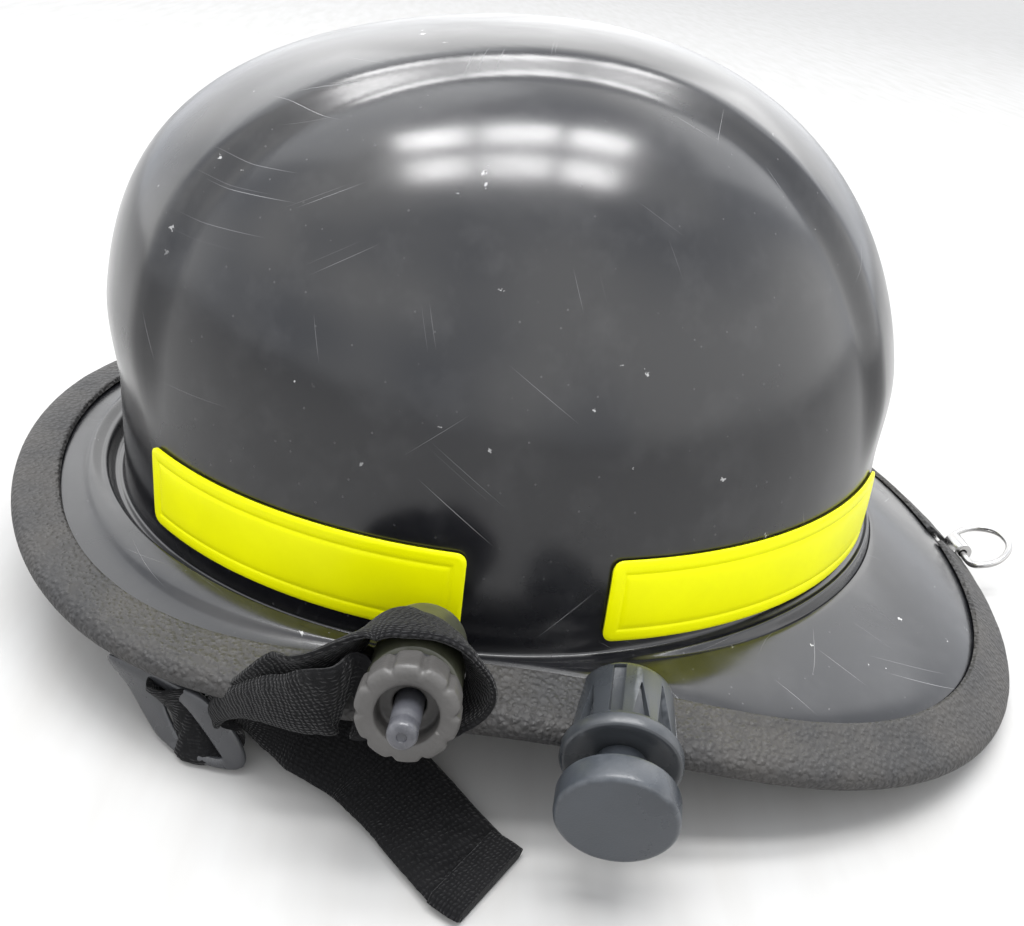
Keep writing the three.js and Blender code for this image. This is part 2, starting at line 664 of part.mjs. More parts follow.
// The hand knob at the back of the head, with finger scallops.
function ratchetKnob() {
  const { knobRadius, knobLength } = ratchet;
  const body = turned([[2.5, 0], [knobRadius - 1, 0], [knobRadius, 1], [knobRadius, knobLength - 1.5],
    [knobRadius - 1.5, knobLength], [0, knobLength], [0, 4], [2.5, 4], [2.5, 0]], 36);
  const foot = [ratchet.x + ratchet.housing[0] / 2 + GAP, 0, ratchet.z];
  return aim(cut(body, ...scallops(12, knobRadius + 1.6, 3, knobLength + 2)), foot, [1, 0, 0]);
}

const napePad = () => box([5, 50, 30], [ratchet.x - ratchet.housing[0] / 2 - 3, 0, ratchet.z]);

// ---------- assembly ----------

const helmet = new THREE.Group();
helmet.name = 'firefighter_helmet';

function add(name, geometry, colour) {
  const [color, roughness, metalness] = COLOURS[colour];
  const mesh = new THREE.Mesh(geometry, new THREE.MeshStandardMaterial({ color, roughness, metalness }));
  mesh.name = name;
  mesh.position.set(...CENTRING);
  helmet.add(mesh);
}

// The same piece on the other side: the left one mirrored in the middle plane.
function mirrored(geometry, side) {
  if (side > 0) {
    return geometry;
  }
  const flipped = geometry.index ? geometry : mergeVertices(geometry);
  flipped.scale(1, -1, 1);
  const order = Array.from(flipped.index.array);
  for (let i = 0; i < order.length; i += 3) {
    [order[i], order[i + 1]] = [order[i + 1], order[i]];
  }
  flipped.setIndex(order);
  return flipped;
}

const shellTool = shellGeometry(GAP);
const beadTool = edgeBead(GAP);

add('shell', shell([studHole(), mirrored(studHole(), -1)]), 'shell');
add('edge_bead', cut(edgeBead(), spliceGap()), 'trim');
add('ring_clip', ringClip(), 'steel');
add('hanger_ring', hangerRing(), 'steel');
add('impact_liner', impactLiner(), 'liner');
add('headband', headband(), 'plastic');
add('brow_pad', browPad(), 'pad');
add('lower_crown_strap', crownStrap(HANGER_ANGLES.rear, -WALL - 23.5), 'elastic');
add('upper_crown_strap', crownStrap(-HANGER_ANGLES.rear, -WALL - 20), 'elastic');
add('ratchet_housing', ratchetHousing(), 'plastic');
add('ratchet_pinion', pinion(), 'plastic');
add('ratchet_knob', ratchetKnob(), 'plastic');
add('nape_pad', napePad(), 'pad');
add('goggle_frame', goggleFrame(), 'plastic');
add('goggle_lens', goggleLens(), 'lens');
add('goggle_pad', gogglePad(), 'foam');

for (const [name, side] of SIDES) {
  add(`${name}_front_strip`, mirrored(cut(reflectiveStrip(STRIP.front), studHole()), side), 'strip');
  add(`${name}_rear_strip`, mirrored(reflectiveStrip(STRIP.rear), side), 'strip');
  add(`${name}_visor_post`, mirrored(visorPost(shellTool, beadTool), side), 'post');
  add(`${name}_visor_stud`, mirrored(visorStud(), side), 'stud');
  add(`${name}_visor_washer`, mirrored(visorWasher(), side), 'plastic');
  add(`${name}_visor_knob`, mirrored(visorKnob(), side), 'knob');
  add(`${name}_peg_body`, mirrored(pegBody(shellTool, beadTool), side), 'peg');
  add(`${name}_peg_cap`, mirrored(pegCap(), side), 'peg');
  add(`${name}_strap_arm`, mirrored(strapArm(), side), 'plastic');
  add(`${name}_strap_loop`, mirrored(strapLoop(shellTool, beadTool), side), 'elastic');
  add(`${name}_strap_run`, mirrored(strapRun(), side), 'elastic');
  add(`${name}_strap_tail`, mirrored(strapTail(), side), 'elastic');
  add(`${name}_strap_hem`, mirrored(strapHem(), side), 'elastic');
  add(`${name}_rack`, rack(-side), 'plastic');
  add(`${name}_front_hanger`, mirrored(hanger(-HANGER_ANGLES.front), side), 'plastic');
  add(`${name}_rear_hanger`, mirrored(hanger(-HANGER_ANGLES.rear), side), 'plastic');
}

export default helmet;
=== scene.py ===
"""The finished look of a firefighter's helmet with its goggles stowed under the brim.

Shapes are drawn in millimetres in the same place as the CAD drawing, then moved and scaled to the frame.
"""

import json
import math
from functools import lru_cache

import bmesh
import bpy
from mathutils import Matrix, Vector, noise


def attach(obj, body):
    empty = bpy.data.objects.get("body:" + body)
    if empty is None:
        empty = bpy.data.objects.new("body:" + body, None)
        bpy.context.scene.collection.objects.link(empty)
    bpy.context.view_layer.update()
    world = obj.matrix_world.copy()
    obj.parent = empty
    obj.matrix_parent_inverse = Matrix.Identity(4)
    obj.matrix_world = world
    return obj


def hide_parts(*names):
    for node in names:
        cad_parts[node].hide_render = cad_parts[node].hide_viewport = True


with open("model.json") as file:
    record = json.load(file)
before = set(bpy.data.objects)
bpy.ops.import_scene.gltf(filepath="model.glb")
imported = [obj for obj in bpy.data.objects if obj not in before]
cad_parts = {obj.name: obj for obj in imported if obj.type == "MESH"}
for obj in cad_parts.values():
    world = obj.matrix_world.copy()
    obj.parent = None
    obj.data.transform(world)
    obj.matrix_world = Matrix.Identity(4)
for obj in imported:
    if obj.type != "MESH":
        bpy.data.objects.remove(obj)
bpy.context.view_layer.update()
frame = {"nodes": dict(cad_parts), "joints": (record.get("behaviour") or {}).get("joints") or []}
JOINTS = {joint["name"]: joint for joint in frame["joints"]}

MM = 0.001
DRAWING_SHIFT = Vector((-2.65, 0, 0.1))  # from the drawing's origin to the middle of the finished helmet
TO_FRAME = Matrix.Scale(MM, 4) @ Matrix.Translation(DRAWING_SHIFT)
UP = Vector((0, 0, 1))
SIDES = ("left", "right")

# ---------- sizes that the CAD drawing also has ----------

SHELL_X = -8
WALL = 3
CROWN_BASE = 41.5
CROWN_HEIGHT = 150.4
RIDGE_RISE = 4.1
RIDGE_HALF_WIDTH = 48
RIDGE_FLARE = 30
RIDGE_EDGE = 6
RIDGE_FADE = (28, 60)
STRIP_LOW, STRIP_HIGH, STRIP_OFFSET = 42.8, 69.2, 0.75
STRIP_SPANS = {"front": (3.67, 4.50), "rear": (4.835, 5.88)}
POST_RADIUS, POST_LENGTH = 12.3, 29
RING_RISE, RING_SHIFT = 0.4, -3
GOGGLE_CENTRE, GOGGLE_LEAN = Vector((-120, 0, 5.1)), 1.38
GOGGLE_HALF_WIDTH, GOGGLE_HALF_HEIGHT = 86, 26


def spread(start, end, count):
    """Evenly spaced numbers, both ends included."""
    return [start + (end - start) * i / (count - 1) for i in range(count)]


def blend_in(value, low, high):
    """Rises smoothly from 0 at low to 1 at high."""
    share = min(max((value - low) / (high - low), 0), 1)
    return share * share * (3 - 2 * share)


def smooth_through(stops, t, is_loop=False):
    """The value a share t of the way along a smooth run through the stops."""
    count = len(stops)
    spans = count if is_loop else count - 1
    place = min(max(t, 0), 1) * spans
    here = min(int(place), spans - 1)
    f = place - here

    def stop(k):
        return stops[k % count] if is_loop else stops[min(max(k, 0), count - 1)]

    a, b, c, d = stop(here - 1), stop(here), stop(here + 1), stop(here + 2)
    return 0.5 * (2 * b + (c - a) * f + (2 * a - 5 * b + 4 * c - d) * f**2 + (3 * b - a - 3 * c + d) * f**3)


# ---------- the shell's surfaces ----------


def around_helmet(stations):
    """A smooth value round the helmet, from the middle of the back to the middle of the front."""
    last = len(stations) - 1

    def half(i):
        return 0.5 if i in (0, last) else 1

    def wave(j):
        heights = (half(k) * v * math.cos(j * k * math.pi / last) for k, v in enumerate(stations))
        return 2 / last * half(j) * sum(heights)

    terms = [wave(j) for j in range(last + 1)]

    @lru_cache(maxsize=4096)
    def value(angle):
        return sum(term * math.cos(j * angle) for j, term in enumerate(terms))

    return value


crown_radius = around_helmet([128, 122, 122, 135, 148])
wall_power = around_helmet([2.1, 2.7, 2.0])
crown_power = around_helmet([2.5, 2.3, 4.15])
brim_radius = around_helmet([183, 179.7, 149.5, 169, 178])
brim_height = around_helmet([5.2, 12.6, 35.2, 31.1, 37.4])
brim_slope = around_helmet([0.7, 0.6, 0.3, 0.2, 0.1])
groove_depth = around_helmet([0.5, 0.5, 4, 6, 6])
lip_drop = around_helmet([5, 4, 2, 1.5, 1.5])
liner_rim = around_helmet([98, 84, 68, 68, 68])


def crown_at(angle, share, offset=0.0, has_ridge=True):
    """A point of the crown at a share of its height, offset outwards."""
    power = crown_power(angle)
    rise = math.asin(min(max(share, 0), 1) ** (power / 2))
    out = (crown_radius(angle) + offset) * max(math.cos(rise), 0) ** (2 / wall_power(angle))
    up = (CROWN_HEIGHT + offset) * share
    x, y = out * math.cos(angle), out * math.sin(angle)
    lift = 1 + ridge_lift(x, y, up) if has_ridge else 1
    return Vector((SHELL_X + x * lift, y * lift, CROWN_BASE + up * lift))


def ridge_lift(x, y, up):
    half = RIDGE_HALF_WIDTH + RIDGE_FLARE * (x / CROWN_HEIGHT) ** 2
    across = 1 - blend_in(abs(y), half - RIDGE_EDGE, half + RIDGE_EDGE)
    return RIDGE_RISE / CROWN_HEIGHT * across * blend_in(up, *RIDGE_FADE)


def height_share(z):
    return (z - CROWN_BASE) / CROWN_HEIGHT


def around(angle, out, z):
    return Vector((SHELL_X + out * math.cos(angle), out * math.sin(angle), z))


def on_brim(angle, inward, up):
    """A place on the brim: inward from its edge along its slope, and up off its middle surface."""
    slope = brim_slope(angle)
    out = brim_radius(angle) - inward * math.cos(slope) + up * math.sin(slope)
    return around(angle, out, brim_height(angle) + inward * math.sin(slope) + up * math.cos(slope))


# ---------- making pieces ----------


def sheet(columns, rows, place):
    """A grid bent into shape by place(u, v); edges that meet are joined."""
    bm = bmesh.new()
    bm.loops.layers.uv.new("Surface")
    bmesh.ops.create_grid(bm, x_segments=columns, y_segments=rows, size=0.5, calc_uvs=True)
    for vert in bm.verts:
        vert.co = place(vert.co.x + 0.5, vert.co.y + 0.5)
    bmesh.ops.remove_doubles(bm, verts=bm.verts, dist=0.002)
    return bm


def close_ends(bm):
    """Caps whatever is still open."""
    rims = [edge for edge in bm.edges if edge.is_boundary]
    bmesh.ops.holes_fill(bm, edges=rims, sides=0)
    return bm


def turned(corners, steps=64):
    """A piece spun about Z from [radius, height] corners."""
    bm = bmesh.new()
    verts = [bm.verts.new((r, 0, z)) for r, z in corners]
    edges = [bm.edges.new(pair) for pair in zip(verts, verts[1:])]
    bmesh.ops.spin(bm, geom=verts + edges, cent=(0, 0, 0), axis=(0, 0, 1), angle=2 * math.pi, steps=steps,
                   use_merge=True)
    bmesh.ops.remove_doubles(bm, verts=bm.verts, dist=0.002)
    return bm


def soften(bm, width, segments=2, angle=35):
    """Rounds the edges that turn by more than an angle."""
    limit = math.radians(angle)
    sharp = [e for e in bm.edges if len(e.link_faces) == 2 and e.calc_face_angle(0) > limit]
    bmesh.ops.bevel(bm, geom=sharp, offset=width, segments=segments, profile=0.5, affect="EDGES",
                    material=-1, clamp_overlap=True)
    return bm


def placed(bm, foot, along):
    """Turns a piece made along Z to another direction and puts its foot at a place."""
    turn = UP.rotation_difference(along).to_matrix().to_4x4()
    bmesh.ops.transform(bm, matrix=Matrix.Translation(foot) @ turn, verts=bm.verts)
    return bm


def mesh_of(bm, name):
    mesh = bpy.data.meshes.new(name)
    bm.to_mesh(mesh)
    bm.free()
    return mesh


def cut_away(bm, *tools):
    """Cuts the tools out of a piece."""
    block = bpy.data.objects.new("block", mesh_of(bm, "block"))
    bpy.context.collection.objects.link(block)
    knives = []
    for tool in tools:
        knife = bpy.data.objects.new("knife", mesh_of(tool, "knife"))
        bpy.context.collection.objects.link(knife)
        knives.append(knife)
        cut = block.modifiers.new("cut", "BOOLEAN")
        cut.object, cut.operation, cut.solver = knife, "DIFFERENCE", "EXACT"
    result = bmesh.new()
    result.from_mesh(block.evaluated_get(bpy.context.evaluated_depsgraph_get()).data)
    for thing in (block, *knives):
        mesh = thing.data
        bpy.data.objects.remove(thing)
        bpy.data.meshes.remove(mesh)
    return result


def finished(name, bm, body, look, nodes=(), mirror=False, crease=40):
    """Puts a drawn piece in the frame, gives it its look and hides the CAD parts that it stands for."""
    if mirror:
        bmesh.ops.scale(bm, vec=(1, -1, 1), verts=bm.verts)
    bmesh.ops.transform(bm, matrix=TO_FRAME, verts=bm.verts)
    bmesh.ops.recalc_face_normals(bm, faces=bm.faces)
    for face in bm.faces:
        face.smooth = True
    mesh = mesh_of(bm, name)
    mesh.set_sharp_from_angle(angle=math.radians(crease))
    mesh.materials.append(look)
    piece = bpy.data.objects.new(name, mesh)
    bpy.context.collection.objects.link(piece)
    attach(piece, body)
    if nodes:
        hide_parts(*nodes)
    return piece


def both_sides(name, make, look, node, body=None, crease=40):
    """Makes a piece for the wearer's left and its mirror image for the right."""
    for side in SIDES:
        nodes = [f"{side}_{n}" for n in ([node] if isinstance(node, str) else node)]
        finished(f"{side}_{name}", make(), f"{side}_{body}" if body else "helmet", look, nodes,
                 mirror=side == "right", crease=crease)


def refined(node, look, body="helmet", width=0.4):
    """A CAD node's shape with merged corners and softened edges."""
    bm = bmesh.new()
    bm.from_mesh(frame["nodes"][node].data)
    bmesh.ops.remove_doubles(bm, verts=bm.verts, dist=0.02 * MM)
    bmesh.ops.dissolve_limit(bm, angle_limit=math.radians(2), verts=bm.verts, edges=bm.edges)
    soften(bm, width * MM, 2, 40)
    bmesh.ops.transform(bm, matrix=TO_FRAME.inverted(), verts=bm.verts)
    return finished(f"{node}_moulded", bm, body, look, [node], crease=50)


# ---------- shared surface effects ----------


class Effect:
    """A shader node group under construction."""

    def __init__(self, name, inputs, outputs):
        self.tree = bpy.data.node_groups.new(name, "ShaderNodeTree")
        for label, default in inputs.items():
            socket = self.tree.interface.new_socket(label, in_out="INPUT", socket_type="NodeSocketFloat")
            socket.default_value = default
        for label in outputs:
            self.tree.interface.new_socket(label, in_out="OUTPUT", socket_type="NodeSocketFloat")
        self.given = add_node(self.tree, "NodeGroupInput").outputs
        self.result = add_node(self.tree, "NodeGroupOutput").inputs

    def put(self, label, source):
        self.tree.links.new(source, self.result[label])


def feed(tree, socket, value):
    """Links another node's output to an input, or sets the input to a plain value."""
    if isinstance(value, bpy.types.NodeSocket):
        tree.links.new(value, socket)
    else:
        socket.default_value = value


def add_node(tree, kind, **settings):
    """A node with its settings; an input's name, or _ and its number, feeds that input."""
    node = tree.nodes.new(kind)
    sockets = {}
    for key, value in settings.items():
        if hasattr(node, key) and key not in node.inputs:
            setattr(node, key, value)
        else:
            sockets[key] = value
    for key, value in sockets.items():
        feed(tree, node.inputs[int(key[1:]) if key[0] == "_" else key], value)
    return node


def math_node(tree, operation, a, b=0.0, c=0.0):
    return add_node(tree, "ShaderNodeMath", operation=operation, _0=a, _1=b, _2=c).outputs[0]


def times(tree, a, b):
    return math_node(tree, "MULTIPLY", a, b)


def band_node(tree, value, low, high, start=0.0, end=1.0):
    """Maps a value from one range to another and holds it at the ends."""
    made = add_node(tree, "ShaderNodeMapRange", Value=value)
    for label, number in (("From Min", low), ("From Max", high), ("To Min", start), ("To Max", end)):
        made.inputs[label].default_value = number
    return made.outputs[0]


def noise_node(tree, place, scale, detail=3.0, roughness=0.5):
    return add_node(tree, "ShaderNodeTexNoise", Vector=place, Scale=scale, Detail=detail,
                    Roughness=roughness).outputs[0]


def cells_node(tree, place, scale):
    return add_node(tree, "ShaderNodeTexVoronoi", Vector=place, Scale=scale)


def cell_tone(tree, cells, channel=0):
    """A tone of its own for each cell."""
    return add_node(tree, "ShaderNodeSeparateColor", Color=cells.outputs["Color"]).outputs[channel]


def mixed_colour(tree, mask, under, over):
    return add_node(tree, "ShaderNodeMix", data_type="RGBA", _0=mask, _6=under, _7=over).outputs[2]


def object_place(tree):
    return add_node(tree, "ShaderNodeTexCoord").outputs["Object"]


def turned_place(tree, place, turn, scale):
    return add_node(tree, "ShaderNodeMapping", Vector=place, Rotation=turn, Scale=scale).outputs[0]


SCRATCH_RUNS = ((0.7, 160, 1.6), (-0.6, 200, 1.8), (1.9, 110, 1.5), (0.1, 240, 2.2))  # turn, length, width
SHELL_ROUND, SHELL_OVER = 817, 540  # millimetres of the shell's surface, round it and over it


def scratches(tree):
    """Runs of fine straight scratches that cross each other: long thin cells, of which few show."""
    flat = add_node(tree, "ShaderNodeUVMap", uv_map="Surface").outputs[0]
    lines = None
    for turn, length, width in SCRATCH_RUNS:
        level = turned_place(tree, flat, (0, 0, turn), (SHELL_ROUND, SHELL_OVER, 1))
        run = turned_place(tree, level, (0, 0, 0), (1 / length, 1 / width, 1))
        cells = add_node(tree, "ShaderNodeTexVoronoi", voronoi_dimensions="2D", Vector=run, Scale=1.0)
        line = band_node(tree, cells.outputs["Distance"], 0.075, 0.03)
        line = times(tree, line, band_node(tree, cell_tone(tree, cells), 0.955, 0.99))
        lines = line if lines is None else math_node(tree, "MAXIMUM", lines, line)
    return lines


def ragged_chips(tree, place):
    """Pale chips with ragged edges, in patches."""
    cells = cells_node(tree, place, 150)
    ragged = times(tree, noise_node(tree, place, 1100, 3), 0.55)
    near = math_node(tree, "ADD", cells.outputs["Distance"], ragged)
    chip = times(tree, band_node(tree, near, 0.37, 0.33), band_node(tree, cell_tone(tree, cells), 0.8, 0.82))
    return times(tree, chip, band_node(tree, noise_node(tree, place, 14, 2), 0.5, 0.62))


def settled_dust(tree, place):
    """Specks over a thin, uneven film."""
    cells = cells_node(tree, place, 420)
    speck = times(tree, band_node(tree, cells.outputs["Distance"], 0.16, 0.1),
                  band_node(tree, cell_tone(tree, cells, 1), 0.86, 0.9))
    film = band_node(tree, noise_node(tree, place, 60, 4, 0.7), 0.5, 0.8, 0.0, 0.35)
    return math_node(tree, "MAXIMUM", speck, film)


def scuffs_effect():
    """Fine scratches, pale chips, settled dust and hand smears."""
    fx = Effect("scuffs_and_dust", {"Amount": 1.0}, ["Scratches", "Chips", "Dust", "Smears"])
    tree = fx.tree
    place = object_place(tree)
    marks = {"Scratches": scratches(tree), "Chips": ragged_chips(tree, place),
             "Dust": settled_dust(tree, place)}
    for label, mark in marks.items():
        fx.put(label, times(tree, mark, fx.given["Amount"]))
    smear = noise_node(tree, turned_place(tree, place, (0.3, 0.1, 0.8), (14, 26, 20)), 1.0, 5, 0.62)
    fx.put("Smears", band_node(tree, smear, 0.42, 0.7))
    return fx.tree


def pebble_effect():
    """Leathery pebbles pressed into rubber or moulded plastic."""
    fx = Effect("pebbled_grain", {"Size": 900.0}, ["Height", "Tone"])
    tree = fx.tree
    place = object_place(tree)
    warp = add_node(tree, "ShaderNodeTexNoise", Vector=place, Scale=500.0).outputs["Color"]
    shift = add_node(tree, "ShaderNodeVectorMath", operation="MULTIPLY", _0=warp, _1=(1.2 * MM,) * 3)
    moved = add_node(tree, "ShaderNodeVectorMath", operation="ADD", _0=place, _1=shift.outputs[0]).outputs[0]
    cells = add_node(tree, "ShaderNodeTexVoronoi", feature="SMOOTH_F1", Vector=moved, Scale=fx.given["Size"],
                     Smoothness=0.4)
    dome = band_node(tree, cells.outputs["Distance"], 0.1, 0.75, 1.0, 0.0)
    fx.put("Height", dome)
    fx.put("Tone", band_node(tree, noise_node(tree, place, 45, 4, 0.6), 0.3, 0.7))
    return fx.tree


def weave_effect():
    """Crepe elastic: rows of crinkled cords across the strap."""
    fx = Effect("crepe_weave", {"Rows": 60.0, "Cords": 24.0}, ["Height", "Thread"])
    tree = fx.tree
    uv = add_node(tree, "ShaderNodeUVMap", uv_map="Surface").outputs[0]
    parts = add_node(tree, "ShaderNodeSeparateXYZ", Vector=uv)
    crinkle = noise_node(tree, object_place(tree), 420, 2)
    along = times(tree, parts.outputs[0], fx.given["Rows"])
    across = times(tree, parts.outputs[1], fx.given["Cords"])
    along = math_node(tree, "ADD", along, times(tree, crinkle, 1.6))
    across = math_node(tree, "ADD", across, times(tree, crinkle, 0.9))
    row = math_node(tree, "SINE", times(tree, along, 2 * math.pi))
    cord = math_node(tree, "SINE", times(tree, across, 2 * math.pi))
    bump = times(tree, math_node(tree, "ADD", row, 1.0), math_node(tree, "ADD", cord, 1.6))
    fuzz = noise_node(tree, object_place(tree), 2600, 2)
    height = math_node(tree, "ADD", times(tree, bump, 0.2), times(tree, fuzz, 0.35))
    fx.put("Height", height)
    fx.put("Thread", band_node(tree, height, 0.2, 1.0))
    return fx.tree


def rub_effect():
    """Paler edges where handling has rubbed a piece."""
    fx = Effect("rubbed_edges", {"Amount": 1.0}, ["Rub", "Grime"])
    tree = fx.tree
    edge = add_node(tree, "ShaderNodeNewGeometry").outputs["Pointiness"]
    place = object_place(tree)
    broken = noise_node(tree, place, 260, 4, 0.65)
    rub = times(tree, band_node(tree, edge, 0.52, 0.6), band_node(tree, broken, 0.4, 0.6))
    fx.put("Rub", times(tree, rub, fx.given["Amount"]))
    fx.put("Grime", band_node(tree, noise_node(tree, place, 38, 5, 0.6), 0.35, 0.75))
    return fx.tree


SCUFFS, PEBBLES, WEAVE, RUBBED = scuffs_effect(), pebble_effect(), weave_effect(), rub_effect()


class Look:
    """A material with a Principled shader and the shared effects."""

    def __init__(self, name, roughness=0.5, **constants):
        self.material = bpy.data.materials.new(name)
        self.material.use_nodes = True
        self.tree = self.material.node_tree
        self.shader = self.tree.nodes["Principled BSDF"]
        self.shader.inputs["Roughness"].default_value = roughness
        for label, value in constants.items():
            self.shader.inputs[label.replace("_", " ")].default_value = value

    def effect(self, group, **values):
        made = self.tree.nodes.new("ShaderNodeGroup")
        made.node_tree = group
        for label, value in values.items():
            made.inputs[label].default_value = value
        return made.outputs

    def tint(self, *steps):
        """Base colour: the first colour, then (mask, colour) layers over it."""
        colour = (*steps[0], 1)
        for mask, over in steps[1:]:
            colour = mixed_colour(self.tree, mask, colour, (*over, 1))
        feed(self.tree, self.shader.inputs["Base Color"], colour)

    def rough(self, mask, low, high):
        feed(self.tree, self.shader.inputs["Roughness"], band_node(self.tree, mask, 0, 1, low, high))

    def relief(self, height, depth):
        """A bump with a depth in millimetres."""
        bump = add_node(self.tree, "ShaderNodeBump", Height=height, Distance=depth * MM, Strength=1.0)
        feed(self.tree, self.shader.inputs["Normal"], bump.outputs[0])


def gloss_shell_look():
    look = Look("gloss_black_shell", IOR=1.52, Coat_Weight=0.12, Coat_Roughness=0.14)
    wear = look.effect(SCUFFS, Amount=1.0)
    look.tint((0.005, 0.0052, 0.0066), (wear["Dust"], (0.04, 0.04, 0.042)),
              (wear["Scratches"], (0.13, 0.13, 0.135)), (wear["Chips"], (0.42, 0.42, 0.42)))
    look.rough(math_node(look.tree, "MAXIMUM", wear["Smears"], wear["Scratches"]), 0.19, 0.31)
    look.relief(times(look.tree, wear["Scratches"], -1.0), 0.02)
    return look.material


def bead_look():
    look = Look("pebbled_edge_rubber", 0.62, Specular_IOR_Level=0.4)
    grain = look.effect(PEBBLES, Size=620.0)
    wear = look.effect(RUBBED, Amount=0.4)
    look.tint((0.017, 0.017, 0.018), (grain["Tone"], (0.025, 0.0247, 0.0252)),
              (wear["Grime"], (0.04, 0.037, 0.034)))
    look.rough(grain["Height"], 0.72, 0.5)
    look.relief(grain["Height"], 0.55)
    return look.material


def strip_look():
    look = Look("fluorescent_sheeting", 0.34, Specular_IOR_Level=0.12)
    wear = look.effect(RUBBED, Amount=0.6)
    look.tint((0.68, 0.69, 0.0), (wear["Grime"], (0.62, 0.63, 0.0)), (wear["Rub"], (0.7, 0.72, 0.03)))
    beads = cells_node(look.tree, object_place(look.tree), 2200).outputs["Distance"]
    look.relief(beads, 0.02)
    return look.material


def steel_look():
    look = Look("polished_steel", 0.22, Metallic=1.0)
    wear = look.effect(RUBBED, Amount=0.5)
    look.tint((0.46, 0.455, 0.45), (wear["Grime"], (0.34, 0.335, 0.33)))
    brushed = turned_place(look.tree, object_place(look.tree), (0, 0, 0), (300, 4000, 300))
    fine = noise_node(look.tree, brushed, 1.0, 2)
    look.rough(fine, 0.16, 0.34)
    look.relief(fine, 0.01)
    return look.material


def moulded_look(name, colour, pale, roughness=0.5, grain=0.03, size=1800.0, rub=0.8):
    """Moulded plastic with a fine grain, rubbed edges and uneven shine."""
    look = Look(name, roughness)
    wear = look.effect(RUBBED, Amount=rub)
    pebbles = look.effect(PEBBLES, Size=size)
    look.tint(colour, (wear["Grime"], [c * 1.35 + 0.004 for c in colour]), (wear["Rub"], pale))
    look.rough(wear["Grime"], roughness - 0.08, roughness + 0.14)
    look.relief(pebbles["Height"], grain)
    return look.material


def elastic_look(name, rows, cords=44.0):
    look = Look(name, 0.95, Specular_IOR_Level=0.12, Sheen_Weight=0.08, Sheen_Roughness=0.4)
    weave = look.effect(WEAVE, Rows=rows, Cords=cords)
    wear = look.effect(RUBBED, Amount=0.0)
    look.tint((0.0035, 0.0035, 0.004), (weave["Thread"], (0.0095, 0.0095, 0.0105)),
              (wear["Grime"], (0.0095, 0.0095, 0.01)))
    look.relief(weave["Height"], 0.4)
    return look.material


def webbing_look():
    look = Look("crown_webbing", 0.9, Specular_IOR_Level=0.2, Sheen_Weight=0.2)
    weave = look.effect(WEAVE, Rows=120.0, Cords=30.0)
    look.tint((0.006, 0.006, 0.007), (weave["Thread"], (0.024, 0.024, 0.026)))
    look.relief(weave["Height"], 0.25)
    return look.material


def foam_look(name, colour):
    look = Look(name, 0.95, Specular_IOR_Level=0.2, Sheen_Weight=0.15)
    pores = cells_node(look.tree, object_place(look.tree), 1500).outputs["Distance"]
    wear = look.effect(RUBBED, Amount=0.0)
    look.tint([c * 0.6 for c in colour], (band_node(look.tree, pores, 0.1, 0.6), colour),
              (wear["Grime"], [c * 1.3 for c in colour]))
    look.relief(pores, 0.15)
    return look.material


def lens_look():
    look = Look("clear_lens", 0.06, IOR=1.58, Transmission_Weight=0.85)
    wear = look.effect(SCUFFS, Amount=0.7)
    look.tint((0.78, 0.8, 0.8), (wear["Dust"], (0.5, 0.5, 0.48)))
    look.rough(wear["Smears"], 0.05, 0.18)
    return look.material


def table_look():
    look = Look("pale_table", 0.6, Specular_IOR_Level=0.3)
    along = turned_place(look.tree, object_place(look.tree), (0, 0, 0.1), (60, 9, 10))
    weave = noise_node(look.tree, along, 1.0, 3)
    look.tint((0.37, 0.368, 0.364), (band_node(look.tree, weave, 0.35, 0.7), (0.345, 0.34, 0.332)))
    look.rough(weave, 0.55, 0.7)
    return look.material


SHELL_LOOK = gloss_shell_look()
BEAD_LOOK = bead_look()
STRIP_LOOK = strip_look()
STEEL_LOOK = steel_look()
LOOP_LOOK = elastic_look("crepe_elastic_loop", 130.0, 40.0)
TAIL_LOOK = elastic_look("crepe_elastic_tail", 62.0)
HEM_LOOK = elastic_look("crepe_elastic_hem", 9.0)
WEBBING_LOOK = webbing_look()
POST_LOOK = moulded_look("olive_black_boss", (0.032, 0.034, 0.021), (0.08, 0.08, 0.066), 0.42, 0.02)
PEG_LOOK = moulded_look("satin_slate_peg", (0.026, 0.03, 0.036), (0.1, 0.108, 0.118), 0.3, 0.015)
PEG_BODY_LOOK = moulded_look("satin_black_peg", (0.026, 0.029, 0.033), (0.1, 0.106, 0.115), 0.3, 0.012)
KNOB_LOOK = moulded_look("worn_warm_grey_knob", (0.044, 0.042, 0.04), (0.12, 0.115, 0.11), 0.5, 0.05, 900.0,
                         1.0)
STUD_LOOK = moulded_look("grey_stud", (0.036, 0.037, 0.043), (0.12, 0.12, 0.13), 0.3, 0.015)
PLASTIC_LOOK = moulded_look("black_moulded_plastic", (0.018, 0.019, 0.021), (0.05, 0.05, 0.053), 0.42, 0.03)
ARM_LOOK = moulded_look("grey_goggle_plastic", (0.03, 0.031, 0.034), (0.1, 0.1, 0.106), 0.3, 0.02)
LINER_LOOK = foam_look("grey_liner_foam", (0.11, 0.115, 0.11))
PAD_LOOK = foam_look("black_pad_cloth", (0.018, 0.019, 0.022))
FACE_FOAM_LOOK = foam_look("goggle_face_foam", (0.03, 0.03, 0.032))
LENS_LOOK = lens_look()


# ---------- shell, bead and strips ----------

BRIM_STEPS_ABOVE, BRIM_STEPS_BELOW, CROWN_STEPS, INNER_STEPS = 44, 22, 84, 34
BRIM_SLOPE_WIDTH = 16  # how far in from its edge the brim's slope is straight
HOLE_RADIUS, HOLE_AHEAD, HOLE_ASIDE = 2.2, 162, 9  # the two holes through the front of the brim
FRONT_TRIM = 0.27  # the share by which the bead's legs are shorter in front


